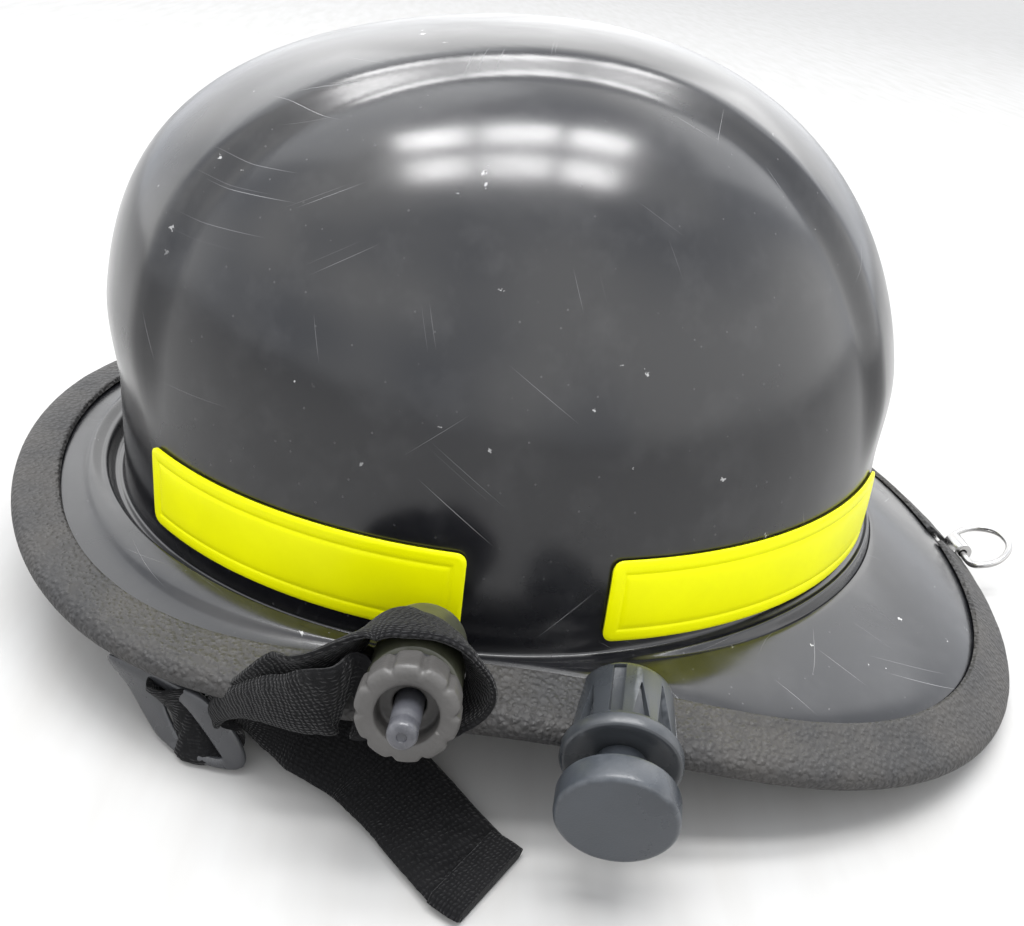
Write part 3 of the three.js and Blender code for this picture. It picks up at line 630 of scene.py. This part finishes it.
@lru_cache(maxsize=2048)
def shell_column(angle):
    """The shell's whole outline at an angle: outside from the top, round the brim and up the inside."""
    base = crown_radius(angle)
    groove, lip = CROWN_BASE - groove_depth(angle), CROWN_BASE - lip_drop(angle)
    half = WALL / 2
    shelf, under = on_brim(angle, BRIM_SLOPE_WIDTH, half), on_brim(angle, BRIM_SLOPE_WIDTH, -half)

    def flat(out, z):
        return around(angle, out, z)

    def out_of(point):
        return math.hypot(point.x - SHELL_X, point.y)

    top = [
        flat(base, CROWN_BASE), flat(base + 0.6, groove + 0.5), flat(base + 2.5, groove - 0.1),
        flat(base + 4.2, groove + 0.3), flat(base + 6, lip - 0.2), flat(base + 8, lip + 0.1),
        flat((base + 8 + out_of(shelf)) / 2, (lip + shelf.z) / 2 + 0.8), shelf, on_brim(angle, 0, half),
    ]
    below = [
        on_brim(angle, 0, -half), under,
        flat((base + 5 + out_of(under)) / 2, (groove - WALL + under.z) / 2),
        flat(base + 3, groove - WALL), flat(base - WALL, groove - WALL),
    ]
    outer = [crown_at(angle, 1 - q * q) for q in spread(0, 1, CROWN_STEPS)]
    inner = [crown_at(angle, 1 - q * q, -WALL, False) for q in spread(0.97, 0, INNER_STEPS)]
    return (
        outer[:-1]
        + [smooth_through(top, t) for t in spread(0, 1, BRIM_STEPS_ABOVE)]
        + [smooth_through(below, t) for t in spread(0, 1, BRIM_STEPS_BELOW)]
        + inner
    )


def shell_piece():
    rows = CROWN_STEPS + BRIM_STEPS_ABOVE + BRIM_STEPS_BELOW + INNER_STEPS - 2

    def place(u, v):
        angle = round(u, 6) % 1 * 2 * math.pi
        return shell_column(angle)[round(v * rows)]

    bm = sheet(300, rows, place)
    holes = []
    for y in (-HOLE_ASIDE, HOLE_ASIDE):
        drill = turned([(0, 0), (HOLE_RADIUS, 0), (HOLE_RADIUS, 30), (0, 30)], 24)
        holes.append(placed(drill, Vector((SHELL_X - HOLE_AHEAD, y, 25)), UP))
    bmesh.ops.recalc_face_normals(bm, faces=bm.faces)
    return cut_away(bm, *holes)


def bead_piece():
    """The rubber U over the brim's edge, with rounded legs and a small dip where each leg ends."""
    section = [(14.2, 3.2), (13.4, 4.1), (9, 4.35), (4, 4.7), (0.6, 4.8), (-2.6, 4.2), (-4.6, 2.3),
               (-5.2, 0), (-4.6, -2.3), (-2.6, -4.2), (0.6, -4.7), (6, -4.4), (10.4, -4.1), (11.2, -3.2),
               (11, -2), (5, -1.9), (-0.4, -1.9), (-0.4, 1.9), (6, 1.9), (13.8, 1.95)]
    stops = [Vector(p) for p in section]
    gap = 5.6 / brim_radius(0.0)

    def place(u, v):
        angle = gap + u * (2 * math.pi - 2 * gap)
        at = smooth_through(stops, v, True)
        if at.x > 0:
            at.x *= 1 - FRONT_TRIM * blend_in(-math.cos(angle), 0.2, 0.95)
        spot = Vector((math.cos(angle), math.sin(angle), 0)) * 26 + Vector((0, 0, at.y))
        ripple = 0.22 * noise.noise(spot)
        return on_brim(angle, at.x, at.y * (1 + 0.03 * ripple) + (ripple if abs(at.y) > 3 else 0) * 0.6)

    return close_ends(sheet(420, 60, place))


def strip_piece(span):
    """A strip with rounded corners and a pressed border line."""
    start, end = span
    corner, inset, line, rim_width = 3.2, 4.2, 0.55, 0.7
    thickness, dent_depth, skirt_depth = 0.95, 0.28, 0.75
    radius = crown_radius((start + end) / 2)
    length, height = (end - start) * radius, STRIP_HIGH - STRIP_LOW
    edge_steps = [0, 0.25, rim_width, 1.4, 2.2, 3.2, inset - line, inset - line / 2, inset, inset + line / 2,
                  inset + line, 6]

    def stops(total, inner):
        low = edge_steps
        high = [total - step for step in reversed(edge_steps)]
        return low + spread(low[-1], high[0], inner + 2)[1:-1] + high

    along, up = stops(length, 60), stops(height, 6)

    def place(u, v):
        s, h = along[round(u * (len(along) - 1))], up[round(v * (len(up) - 1))]
        edge = min(s, length - s, h, height - h)
        share = blend_in(edge, rim_width, 0)
        if edge > rim_width:
            share = math.exp(-(((edge - inset) / line) ** 2))
        s, h = rounded_corner(s, h, length, height, corner)
        offset = STRIP_OFFSET + thickness - dent_depth * share
        return crown_at(start + (end - start) * s / length, height_share(STRIP_LOW + h), offset)

    bm = sheet(len(along) - 1, len(up) - 1, place)
    rim = [edge for edge in bm.edges if edge.is_boundary]
    skirt = bmesh.ops.extrude_edge_only(bm, edges=rim)["geom"]
    for vert in skirt:
        if isinstance(vert, bmesh.types.BMVert):
            inward = Vector((SHELL_X - vert.co.x, -vert.co.y, 0)).normalized()
            vert.co += inward * skirt_depth
    return close_ends(bm)


def rounded_corner(s, h, length, height, corner):
    """Moves a place in a rectangle's corner square into the corner's quarter circle."""
    ds = max(corner - s, s - (length - corner), 0)
    dh = max(corner - h, h - (height - corner), 0)
    if ds > 0 and dh > 0:
        scale = max(ds, dh) / math.hypot(ds, dh)
        s += (1 - scale) * ds * (1 if s < corner else -1)
        h += (1 - scale) * dh * (1 if h < corner else -1)
    return s, h


finished("shell_moulding", shell_piece(), "helmet", SHELL_LOOK, ["shell"], crease=60)
finished("brim_edge_bead", bead_piece(), "helmet", BEAD_LOOK, ["edge_bead"], crease=50)
for strip_name, strip_span in STRIP_SPANS.items():
    both_sides(f"{strip_name}_reflective_strip", lambda: strip_piece(strip_span), STRIP_LOOK,
               f"{strip_name}_strip", crease=70)


# ---------- hanger ring ----------


def joint_place(name):
    """A joint's pivot in the drawing's millimetres, and its axis."""
    joint = JOINTS[name]
    return Vector(joint["pos_m"]) / MM - DRAWING_SHIFT, Vector(joint["axis"])


def wire_loop(stops, radius, face, columns, rows=14):
    """A wire bent through a closed row of stops in the plane that the face direction stands on."""

    def place(u, v):
        at = smooth_through(stops, u % 1, True)
        along = smooth_through(stops, (u + 0.002) % 1, True) - smooth_through(stops, (u - 0.002) % 1, True)
        side = along.normalized().cross(face).normalized()
        turn = 2 * math.pi * v
        return at + radius * (math.cos(turn) * side + math.sin(turn) * face)

    return sheet(columns, rows, place)


ring_pivot, _ = joint_place("hanger_ring_swing")
ring_out = Vector((math.cos(RING_RISE), 0, math.sin(RING_RISE)))
ring_face = Vector((-math.sin(RING_RISE), 0, math.cos(RING_RISE)))
RING_WIRE = 1.3  # the wire's radius
RING_CORNERS = [(0, -9.5), (0, 0), (0, 9.5), (3.6, 12.4), (8, 13), (12, 11.6), (16.2, 7.8), (18.3, 3),
                (18.3, -3), (16.2, -7.8), (12, -11.6), (8, -13), (3.6, -12.4)]
ring_stops = [ring_pivot + ring_out * out + Vector((0, y + RING_SHIFT, 0)) for out, y in RING_CORNERS]
finished("steel_hanger_ring", wire_loop(ring_stops, RING_WIRE, ring_face, 150), "hanger_ring", STEEL_LOOK,
         ["hanger_ring"])
refined("ring_clip", STEEL_LOOK, width=0.3)


# ---------- visor post, stud, washer and knob ----------

knob_place, post_along = joint_place("left_visor_knob_turn")
KNOB_MIDDLE = 37  # from the post's foot to the knob's middle
post_foot = knob_place - post_along * KNOB_MIDDLE


def on_post(bm, distance=0.0):
    return placed(bm, post_foot + post_along * distance, post_along)


def post_piece():
    profile = [(0, 1), (POST_RADIUS - 0.4, 1), (POST_RADIUS, 4), (POST_RADIUS, 24), (POST_RADIUS - 0.1, 27),
               (POST_RADIUS - 0.6, 28.3), (POST_RADIUS - 2, POST_LENGTH), (8.2, POST_LENGTH), (7.9, 28.4),
               (5, 28.4), (4.1, 28), (4.1, 27), (0, 27)]
    return on_post(turned(profile, 72))


def stud_piece():
    profile = [(0, -19.5), (7, -19.5), (7.5, -19), (7.5, -17.6), (7, -17.2), (3.7, -17.2), (3.7, 38),
               (3.65, 45.2), (3.1, 45.9), (3.0, 47.3), (3.65, 47.9), (3.7, 50.6), (3.3, 51.6), (2.7, 52),
               (1.3, 51.95), (1.1, 51.6), (0, 51.5)]
    return on_post(turned(profile, 48))


def washer_piece():
    profile = [(4.1, 0.2), (4.4, 0), (10.6, 0), (11, 0.4), (11, 1.8), (10.6, 2.2), (4.4, 2.2), (4.1, 2),
               (4.1, 0.2)]
    return on_post(turned(profile), POST_LENGTH + 0.4)


def fluted(profile, flutes, depth, sharpness, columns=240):
    """A turned ring whose outside has scooped flutes; each stop is (radius, height, share of the flute)."""
    stops = [Vector(stop) for stop in profile]
    rows = len(stops) * 3

    def place(u, v):
        radius, height, share = smooth_through(stops, v, True) if v < 1 else stops[0]
        turn = 2 * math.pi * (u % 1)
        scoop = (0.5 + 0.5 * math.cos(flutes * turn)) ** sharpness
        radius -= depth * share * scoop
        return Vector((radius * math.cos(turn), radius * math.sin(turn), height))

    return sheet(columns, rows, place)


def knob_piece():
    profile = [(4.2, 0.2, 0), (8, 0, 0.1), (11.6, 0.1, 0.7), (12.6, 0.5, 1), (12.95, 1.6, 1), (13, 5, 1),
               (12.95, 8, 1), (12.5, 9.2, 0.9), (11.2, 9.95, 0.6), (9.3, 10, 0.1), (8.2, 9.8, 0),
               (7.8, 9.2, 0), (7.7, 6.5, 0), (7.5, 3.8, 0), (6, 3.5, 0), (4.3, 3.4, 0), (4.15, 2, 0)]
    return on_post(fluted(profile, flutes=10, depth=0.95, sharpness=7.0), POST_LENGTH + 3)


both_sides("visor_boss", post_piece, POST_LOOK, "visor_post")
both_sides("threaded_stud", stud_piece, STUD_LOOK, "visor_stud")
both_sides("plain_washer", washer_piece, PLASTIC_LOOK, "visor_washer")
both_sides("fluted_ring_knob", knob_piece, KNOB_LOOK, "visor_knob", "visor_knob", crease=55)


# ---------- rear peg ----------

cap_place, peg_along = joint_place("left_peg_cap_turn")
CAP_MIDDLE = 33  # from the peg's foot to the cap's middle
SLOT_TURN = math.radians(95)  # puts one plain slot on top of the peg
CUTTER_MIDDLE, CUTTER_DEPTH = 14.4, 5.2  # where the cutters reach, out from the peg's axis
peg_foot = cap_place - peg_along * CAP_MIDDLE


def wedge(width_top, width_end, start, end, turn):
    """A cutter that widens along the peg, out at the peg's surface."""
    bm = bmesh.new()
    bmesh.ops.create_cube(bm, size=1)
    for vert in bm.verts:
        is_end = vert.co.z > 0
        width = width_end if is_end else width_top
        out = CUTTER_MIDDLE + vert.co.x * CUTTER_DEPTH
        vert.co = Vector((out, vert.co.y * width, end if is_end else start))
    bmesh.ops.rotate(bm, cent=(0, 0, 0), matrix=Matrix.Rotation(turn, 3, "Z"), verts=bm.verts)
    return bm


def peg_body_piece():
    profile = [(0, 0.2), (10.6, 0.2), (12, 0.6), (12.8, 1.6), (13.1, 3), (13.9, 12), (14.8, 21.2),
               (15.9, 22.2), (16.3, 22.8), (16.3, 25.2), (15.9, 26.1), (15.3, 26.4), (14.4, 26.3),
               (12.4, 25.2), (9, 24.4), (5, 24.2), (4, 24), (4, 21.4), (0, 21.4)]
    slot, scoop, side_scoop = (3.4, 3.6, 2.2, 20.6), (0.5, 5.4, 5.5, 20.8), (0.4, 4.6, 8.5, 20.8)
    bm = turned(profile, 96)
    bmesh.ops.recalc_face_normals(bm, faces=bm.faces)
    cuts = []
    for i in range(6):
        turn = SLOT_TURN + i * math.pi / 3
        if i % 2:
            cuts.append(wedge(*scoop, turn + 0.08))
        else:
            cuts += [wedge(*slot, turn), wedge(*side_scoop, turn + 0.56), wedge(*side_scoop, turn - 0.46)]
    return placed(soften(cut_away(bm, *cuts), 0.22, 2, 32), peg_foot, peg_along)


def cap_piece():
    profile = [(0, 25), (6.6, 25), (7, 25.6), (7, 34.6), (7.6, 35.3), (14.6, 35.4), (15.6, 35.9),
               (15.9, 36.8), (15.9, 42.4), (15.7, 43.3), (15.1, 43.9), (14.4, 44), (0, 44)]
    return placed(turned(profile, 96), peg_foot, peg_along)


both_sides("ribbed_peg_body", peg_body_piece, PEG_BODY_LOOK, "peg_body", crease=38)
both_sides("peg_disc_cap", cap_piece, PEG_LOOK, "peg_cap", "peg_cap")


# ---------- elastic straps ----------


def strap_section(width, thickness, roll):
    """Stops round a strap's section as (across, up); roll lifts its two edges."""
    half, mid = width / 2, thickness / 2
    face = spread(-1, 1, 13)
    over = [Vector((s * (half - mid), mid + roll * s**4)) for s in face]
    under = [Vector((s * (half - mid), -mid + roll * s**4)) for s in reversed(face)]
    right_end, left_end = Vector((half, roll)), Vector((-half, roll))
    return over + [right_end] + under + [left_end]


def strap_piece(route, thickness=1.9, steps=110, puckers=0.25):
    """A strap through stops of (place, across, width, roll)."""
    places = [Vector(stop[0]) for stop in route]
    acrosses = [Vector(stop[1]).normalized() for stop in route]
    widths, rolls = [stop[2] for stop in route], [stop[3] for stop in route]
    around_steps = 28

    @lru_cache(maxsize=512)
    def ring(t):
        at = smooth_through(places, t)
        along = smooth_through(places, min(t + 0.004, 1)) - smooth_through(places, max(t - 0.004, 0))
        along.normalize()
        across = smooth_through(acrosses, t)
        across = (across - along * across.dot(along)).normalized()
        up = along.cross(across).normalized()
        section = strap_section(smooth_through(widths, t), thickness, smooth_through(rolls, t))
        return [
            at + across * (p.x + puckers * noise.noise(Vector((t * 60, p.x * 0.2, 0))))
            + up * (p.y + puckers * noise.noise(Vector((t * 34, p.x * 0.35, 5))))
            for p in section
        ]

    def place(u, v):
        return ring(round(u, 6))[round(v * around_steps) % around_steps]

    return close_ends(sheet(steps, around_steps, place))


# Two directions across the post: to its rear side, and to its upper side.
post_side = Vector((1, 0, 0))
post_side = (post_side - post_along * post_side.dot(post_along)).normalized()
post_top = post_side.cross(post_along).normalized()
post_top = post_top if post_top.z > 0 else -post_top


def by_post(side, top, distance):
    """A place beside the post, from across, up and along it."""
    return post_foot + post_side * side + post_top * top + post_along * distance


def flared(side, top, tilt):
    """The strap's cross direction near the post: along it, leaning outwards by tilt."""
    outward = (post_side * side + post_top * top).normalized()
    return post_along + outward * tilt


def strap_loop_piece():
    """The band that comes up from the arm, round the post under the knob, and back below it."""
    route = [
        ((-101.5, -131.5, 18), (-0.2, 0.1, 1), 8, 0),
        ((-98.8, -134.2, 23.8), (-0.15, 0.1, 1), 8, 0.4),
        ((-93, -140, 31), (-0.1, 0.1, 1), 10, 0.6),
        ((-86.4, -145.2, 38), (-0.1, 0.1, 1), 14, 0.8),
        ((-78.5, -149, 45.4), (-0.15, 0, 1), 19, 0.9),
        ((-70, -151.4, 52.2), (-0.3, -0.4, 0.9), 22, 1.0),
        (by_post(-11.5, 12.2, 18.5), flared(-1, 2, 0.16), 23, 0.9),
        (by_post(-1, 14.5, 20.5), flared(0, 1, 0.1), 19, 0.6),
        (by_post(9.5, 12.4, 22.5), flared(1, 1, 0.25), 15, 0.5),
        (by_post(15, 6.2, 22), flared(1, 0.2, 0.5), 16, 0.6),
        (by_post(16.9, 0.6, 21.5), flared(1, 0, 0.6), 17, 0.6),
        (by_post(15.2, -5.5, 20.5), flared(1, -0.4, 0.4), 17, 0.5),
        (by_post(8, -12.4, 19.5), flared(0.5, -2, 0.15), 19, 0.4),
        (by_post(-4, -14, 19), flared(-0.2, -1, 0.1), 21, 0.4),
        (by_post(-14.4, -6, 20.5), flared(-1, -0.3, 0.6), 27, 0.7),
        ((-67, -157.6, 46), (0, -0.25, 1), 27, 0.8),
        ((-74.5, -156.4, 43), (0, -0.15, 1), 21, 0.8),
        ((-82, -151.8, 39.6), (0.1, -0.1, 1), 16, 0.7),
        ((-88.6, -146.4, 34.8), (0.1, -0.1, 1), 12, 0.6),
        ((-94.6, -140.8, 28.8), (0, -0.1, 1), 9, 0.4),
        ((-99.8, -135.6, 21.6), (-0.1, 0, 1), 7, 0.3),
        ((-101.5, -133.4, 16.5), (-0.2, 0.1, 1), 7, 0),
    ]
    return strap_piece(route, steps=320)


def strap_wrap_piece():
    """The elastic where it passes through the arm's slot and behind its rear bar."""
    route = [
        ((-113.4, -120.5, 14.4), (-0.54, 0.33, 0.77), 21, 0),
        ((-114.4, -126, 13.6), (-0.54, 0.33, 0.77), 22, 0.2),
        ((-110.4, -129.4, 12.6), (-0.54, 0.33, 0.77), 23, 0.3),
        ((-105.2, -130.6, 11.6), (-0.54, 0.33, 0.77), 23, 0.3),
        ((-100.6, -129.6, 12.6), (-0.5, 0.3, 0.8), 21, 0.3),
        ((-98.6, -130.6, 17), (-0.4, 0.2, 0.9), 14, 0.3),
        ((-99.6, -132.6, 21), (-0.2, 0.1, 1), 8, 0.3),
    ]
    return strap_piece(route, steps=70)


TAIL_ROUTE = [
    ((-100, -131.5, 18), (-0.6, -0.2, -0.6), 9, 0.4),
    ((-94, -131, 17.5), (-0.85, -0.1, -0.5), 11, 0.6),
    ((-85.5, -130, 14.8), (-0.88, -0.3, -0.3), 18, 0.6),
    ((-76, -130.2, 12), (-0.89, -0.42, -0.16), 25, 0.5),
    ((-60.5, -135.5, 8), (-0.8, -0.59, -0.09), 29, 0.4),
    ((-52, -141.6, 5.6), (-0.78, -0.63, -0.05), 30, 0.3),
    ((-44.4, -149, 3.6), (-0.74, -0.67, -0.02), 30, 0.2),
    ((-37, -158.4, 2.5), (-0.72, -0.7, 0), 30, 0.1),
    ((-27.4, -170.8, 2.4), (-0.62, -0.78, 0), 29.6, 0),
]


def tail_piece():
    return strap_piece(TAIL_ROUTE, steps=120, puckers=0.16)


def hem_piece():
    """The tail's end, folded back on itself and sewn."""
    start, end = Vector((-30.1, -168.4, 2.5)), Vector((-22.4, -174.2, 2.4))
    across = Vector((-0.6, -0.8, 0)).normalized()
    widths = ((0, 30.4), (0.33, 30.8), (0.66, 30.8), (1, 30.2))
    route = [(start.lerp(end, t), across, width, 0) for t, width in widths]
    return soften(strap_piece(route, thickness=3.7, steps=36, puckers=0.12), 0.5, 3, 60)


both_sides("goggle_strap_loop", strap_loop_piece, LOOP_LOOK, ["strap_loop", "strap_run"],
           crease=70)
both_sides("goggle_strap_wrap", strap_wrap_piece, HEM_LOOK, (), "strap_arm", crease=70)
both_sides("goggle_strap_tail", tail_piece, TAIL_LOOK, "strap_tail", crease=70)
both_sides("goggle_strap_hem", hem_piece, HEM_LOOK, "strap_hem", crease=60)


# ---------- goggles ----------

# The strap arm's outer edge and its slot's edge, in step with each other.
ARM_EDGE = [(-134.1, -117, 24), (-129.1, -117, 14.3), (-124.7, -119, 6.4), (-119.2, -124.7, 2.2),
            (-111.9, -131.4, 1.6), (-102, -135.5, 1.6), (-94, -136.6, 1.8), (-91.8, -136, 5.6),
            (-95.8, -135, 15.2), (-103.7, -132, 22.8), (-111.3, -128, 24), (-122.8, -121, 24.2)]
ARM_SLOT = [(-117.8, -124, 18.6), (-117.3, -124.5, 14.8), (-114.9, -127, 9.7), (-110.9, -130.5, 6),
            (-106.2, -133, 4.6), (-101.6, -135, 4.4), (-98.6, -136, 5), (-99.3, -136, 7),
            (-102.7, -134, 11.2), (-108.4, -131, 17.6), (-113.5, -127.5, 19.8), (-116.3, -125, 19.8)]

# The goggles' frame and face pad in section, as (inset from the outline, depth behind the lens face).
FRAME_SECTION = [(0.6, 0.3), (0.1, 1.5), (0, 5), (0.1, 9.5), (0.6, 10.8), (2.4, 10.9), (4.4, 10.7),
                 (4.9, 9.5), (4.9, 5), (4.9, 1.5), (4.4, 0.3), (2.4, 0.1)]
PAD_SECTION = [(1.4, 12), (1.1, 14), (1.3, 18), (2.6, 20.4), (5, 20.9), (7.6, 20.4), (9.2, 18), (9.6, 14),
               (9.2, 12), (5, 11.5)]



def arm_piece():
    """The strap arm: a bowed plate with a long slot that the elastic passes through."""
    edge, slot = [Vector(p) for p in ARM_EDGE], [Vector(p) for p in ARM_SLOT]
    plate = [(0, 0), (0.05, 0.9), (0.25, 1.4), (0.6, 1.35), (0.93, 0.9), (1, 0), (0.93, -0.9), (0.6, -1.3),
             (0.25, -1.3), (0.05, -0.9)]
    section = [Vector(p) for p in plate]

    def place(u, v):
        outer, inner = smooth_through(edge, u % 1, True), smooth_through(slot, u % 1, True)
        along = smooth_through(edge, (u + 0.004) % 1, True) - smooth_through(edge, (u - 0.004) % 1, True)
        face = along.cross(inner - outer).normalized()
        share, rise = smooth_through(section, v % 1, True)
        return outer.lerp(inner, share) + face * rise

    return sheet(220, 30, place)


def goggle_outline(inset):
    """Stops round the goggles' outline, seen from the front."""
    w, h = GOGGLE_HALF_WIDTH - inset, GOGGLE_HALF_HEIGHT - inset
    right = [(0, h), (w * 0.5, h), (w - 16, h), (w - 3, h - 4), (w, h - 16), (w - 1.5, -4), (w - 12, -h + 6),
             (w - 34, -h), (w - 52, -h + 1), (19, -h + 6.5), (10, -h + 15)]
    left = [(-x, y) for x, y in reversed(right) if x > 0]
    return [Vector(p) for p in right + [(0, -h + 19)] + left]


def stowed(x, y, z):
    """A place on the goggles drawn face-on, put under the brim."""
    ahead = Vector((-math.cos(GOGGLE_LEAN), 0, -math.sin(GOGGLE_LEAN)))
    face_up = Vector((-math.sin(GOGGLE_LEAN), 0, math.cos(GOGGLE_LEAN)))
    return GOGGLE_CENTRE + face_up.cross(ahead) * x + face_up * y + ahead * z


def goggle_ring(section, columns=260):
    """A ring round the goggles from stops of (inset, depth behind the lens face)."""
    stops = [Vector(stop) for stop in section]
    rows = len(stops) * 3

    def place(u, v):
        inset, depth = smooth_through(stops, v % 1, True)
        at = smooth_through(goggle_outline(inset), u % 1, True)
        return stowed(at.x, at.y, -depth)

    return sheet(columns, rows, place)


def goggle_ear_piece():
    """The ear at the frame's end, which the strap arm hinges on."""
    w = GOGGLE_HALF_WIDTH
    outline = [(w - 9, 15), (w + 2, 16), (w + 14, 13), (w + 22, 9), (w + 23.4, 4), (w + 22, -4),
               (w + 14, -9), (w + 2, -13), (w - 9, -12)]
    stops = [Vector(p) for p in outline]
    middle = Vector((w + 6, 1))
    layers = [(1, 4.2), (0.06, 4.0), (0.0, 4.6), (0.0, 8.4), (0.06, 9.0), (1, 8.8)]
    rows = len(layers) - 1

    def place(u, v):
        fill, depth = layers[round(v * rows)]
        at = smooth_through(stops, u % 1, True).lerp(middle, fill)
        return stowed(at.x, at.y, -depth)

    return sheet(90, rows, place)


both_sides("goggle_strap_arm", arm_piece, ARM_LOOK, "strap_arm", "strap_arm", crease=60)
finished("goggle_frame_moulding", goggle_ring(FRAME_SECTION), "helmet", ARM_LOOK, ["goggle_frame"],
         crease=60)
both_sides("goggle_frame_ear", goggle_ear_piece, ARM_LOOK, (), crease=50)
finished("goggle_face_pad", goggle_ring(PAD_SECTION), "helmet", FACE_FOAM_LOOK, ["goggle_pad"])
refined("goggle_lens", LENS_LOOK, width=0.3)


# ---------- inside the shell ----------

for node in ("headband", "ratchet_housing"):
    refined(node, PLASTIC_LOOK)
for node in ("brow_pad", "nape_pad"):
    refined(node, PAD_LOOK, width=1.2)
for node in ("lower_crown_strap", "upper_crown_strap"):
    refined(node, WEBBING_LOOK, width=0.3)
refined("ratchet_knob", PLASTIC_LOOK, "ratchet_knob")
refined("ratchet_pinion", PLASTIC_LOOK, "ratchet_knob", 0.1)
for side in SIDES:
    refined(f"{side}_rack", PLASTIC_LOOK, f"{side}_rack", 0.15)
    refined(f"{side}_front_hanger", PLASTIC_LOOK)
    refined(f"{side}_rear_hanger", PLASTIC_LOOK)


def liner_piece():
    """The foam bowl inside the crown."""
    rows, gap, depth = 40, 1.5, 15

    @lru_cache(maxsize=1024)
    def column(angle):
        low = height_share(liner_rim(angle))
        outer = [crown_at(angle, 1 - (1 - low) * q * q, -WALL - gap, False) for q in spread(0, 1, 20)]
        inner = [crown_at(angle, 1 - (1 - low) * q * q, -WALL - depth, False) for q in spread(1, 0, 21)]
        return outer + inner

    def place(u, v):
        return column(round(u, 6) % 1 * 2 * math.pi)[round(v * rows)]

    return sheet(160, rows, place)


finished("foam_impact_liner", liner_piece(), "helmet", LINER_LOOK, ["impact_liner"], crease=50)


# ---------- table, light and camera ----------

table_bm = bmesh.new()
bmesh.ops.create_grid(table_bm, x_segments=1, y_segments=1, size=40)
table = mesh_of(table_bm, "table_top")
table.materials.append(table_look())
table_top = bpy.data.objects.new("table_top", table)
bpy.context.collection.objects.link(table_top)

room = bpy.data.worlds.new("pale_room")
bpy.context.scene.world = room
room.use_nodes = True
room_tree = room.node_tree
walls = add_node(room_tree, "ShaderNodeTexCoord").outputs["Generated"]
shade = band_node(room_tree, noise_node(room_tree, walls, 1.7, 1.0), 0.34, 0.6)
background = room_tree.nodes["Background"]
wall_colour = mixed_colour(room_tree, shade, (0.58, 0.6, 0.64, 1), (1, 1, 1, 1))
feed(room_tree, background.inputs["Color"], wall_colour)
background.inputs["Strength"].default_value = 2.2


def panel(name, place, aim, size, power, colour=(1, 1, 1)):
    """A flat light at a place, aimed at another."""
    light = bpy.data.lights.new(name, "AREA")
    light.shape, light.size, light.size_y = "RECTANGLE", *size
    light.energy, light.color = power, colour
    holder = bpy.data.objects.new(name, light)
    holder.location = place
    holder.rotation_mode = "QUATERNION"
    holder.rotation_quaternion = (Vector(aim) - Vector(place)).to_track_quat("-Z", "Y")
    bpy.context.collection.objects.link(holder)


panel("window_light", (-1.3, 1.5, 2.1), (0, 0, 0.05), (2.4, 2.0), 16, (0.98, 0.99, 1))
panel("back_fill", (1.8, 1.6, 1.9), (0, 0, 0.1), (2.0, 1.6), 14)
for row, row_y in enumerate((-0.3, 0.2)):
    for column, column_x in enumerate((-0.55, 0, 0.55)):
        panel(f"ceiling_panel_{row}_{column}", (column_x, row_y, 1.9), (column_x, row_y, 0), (0.46, 0.3), 9)

bpy.context.scene.view_settings.view_transform = "Standard"

CAMERA_LENS = 37.2
CAMERA_TARGET = Vector((-0.01514, 0, 0.03485))
CAMERA_DISTANCE, CAMERA_RISE, CAMERA_TURN, CAMERA_ROLL = 0.41474, 27.64, -6.01, 7.17
rise, turn, roll = (math.radians(angle) for angle in (CAMERA_RISE, CAMERA_TURN, CAMERA_ROLL))
back = Vector((math.sin(turn) * math.cos(rise), -math.cos(turn) * math.cos(rise), math.sin(rise)))
right = (-back).cross(UP).normalized()
over = right.cross(-back).normalized()
rolled_right = math.cos(roll) * right + math.sin(roll) * over
rolled_over = math.cos(roll) * over - math.sin(roll) * right
camera = bpy.data.objects.new("camera", bpy.data.cameras.new("camera"))
camera.data.lens = CAMERA_LENS
camera.data.sensor_width = 36
camera.data.clip_start = 0.01
camera.matrix_world = (
    Matrix.Translation(CAMERA_TARGET + back * CAMERA_DISTANCE)
    @ Matrix((rolled_right, rolled_over, back)).transposed().to_4x4()
)
bpy.context.collection.objects.link(camera)
bpy.context.scene.camera = camera
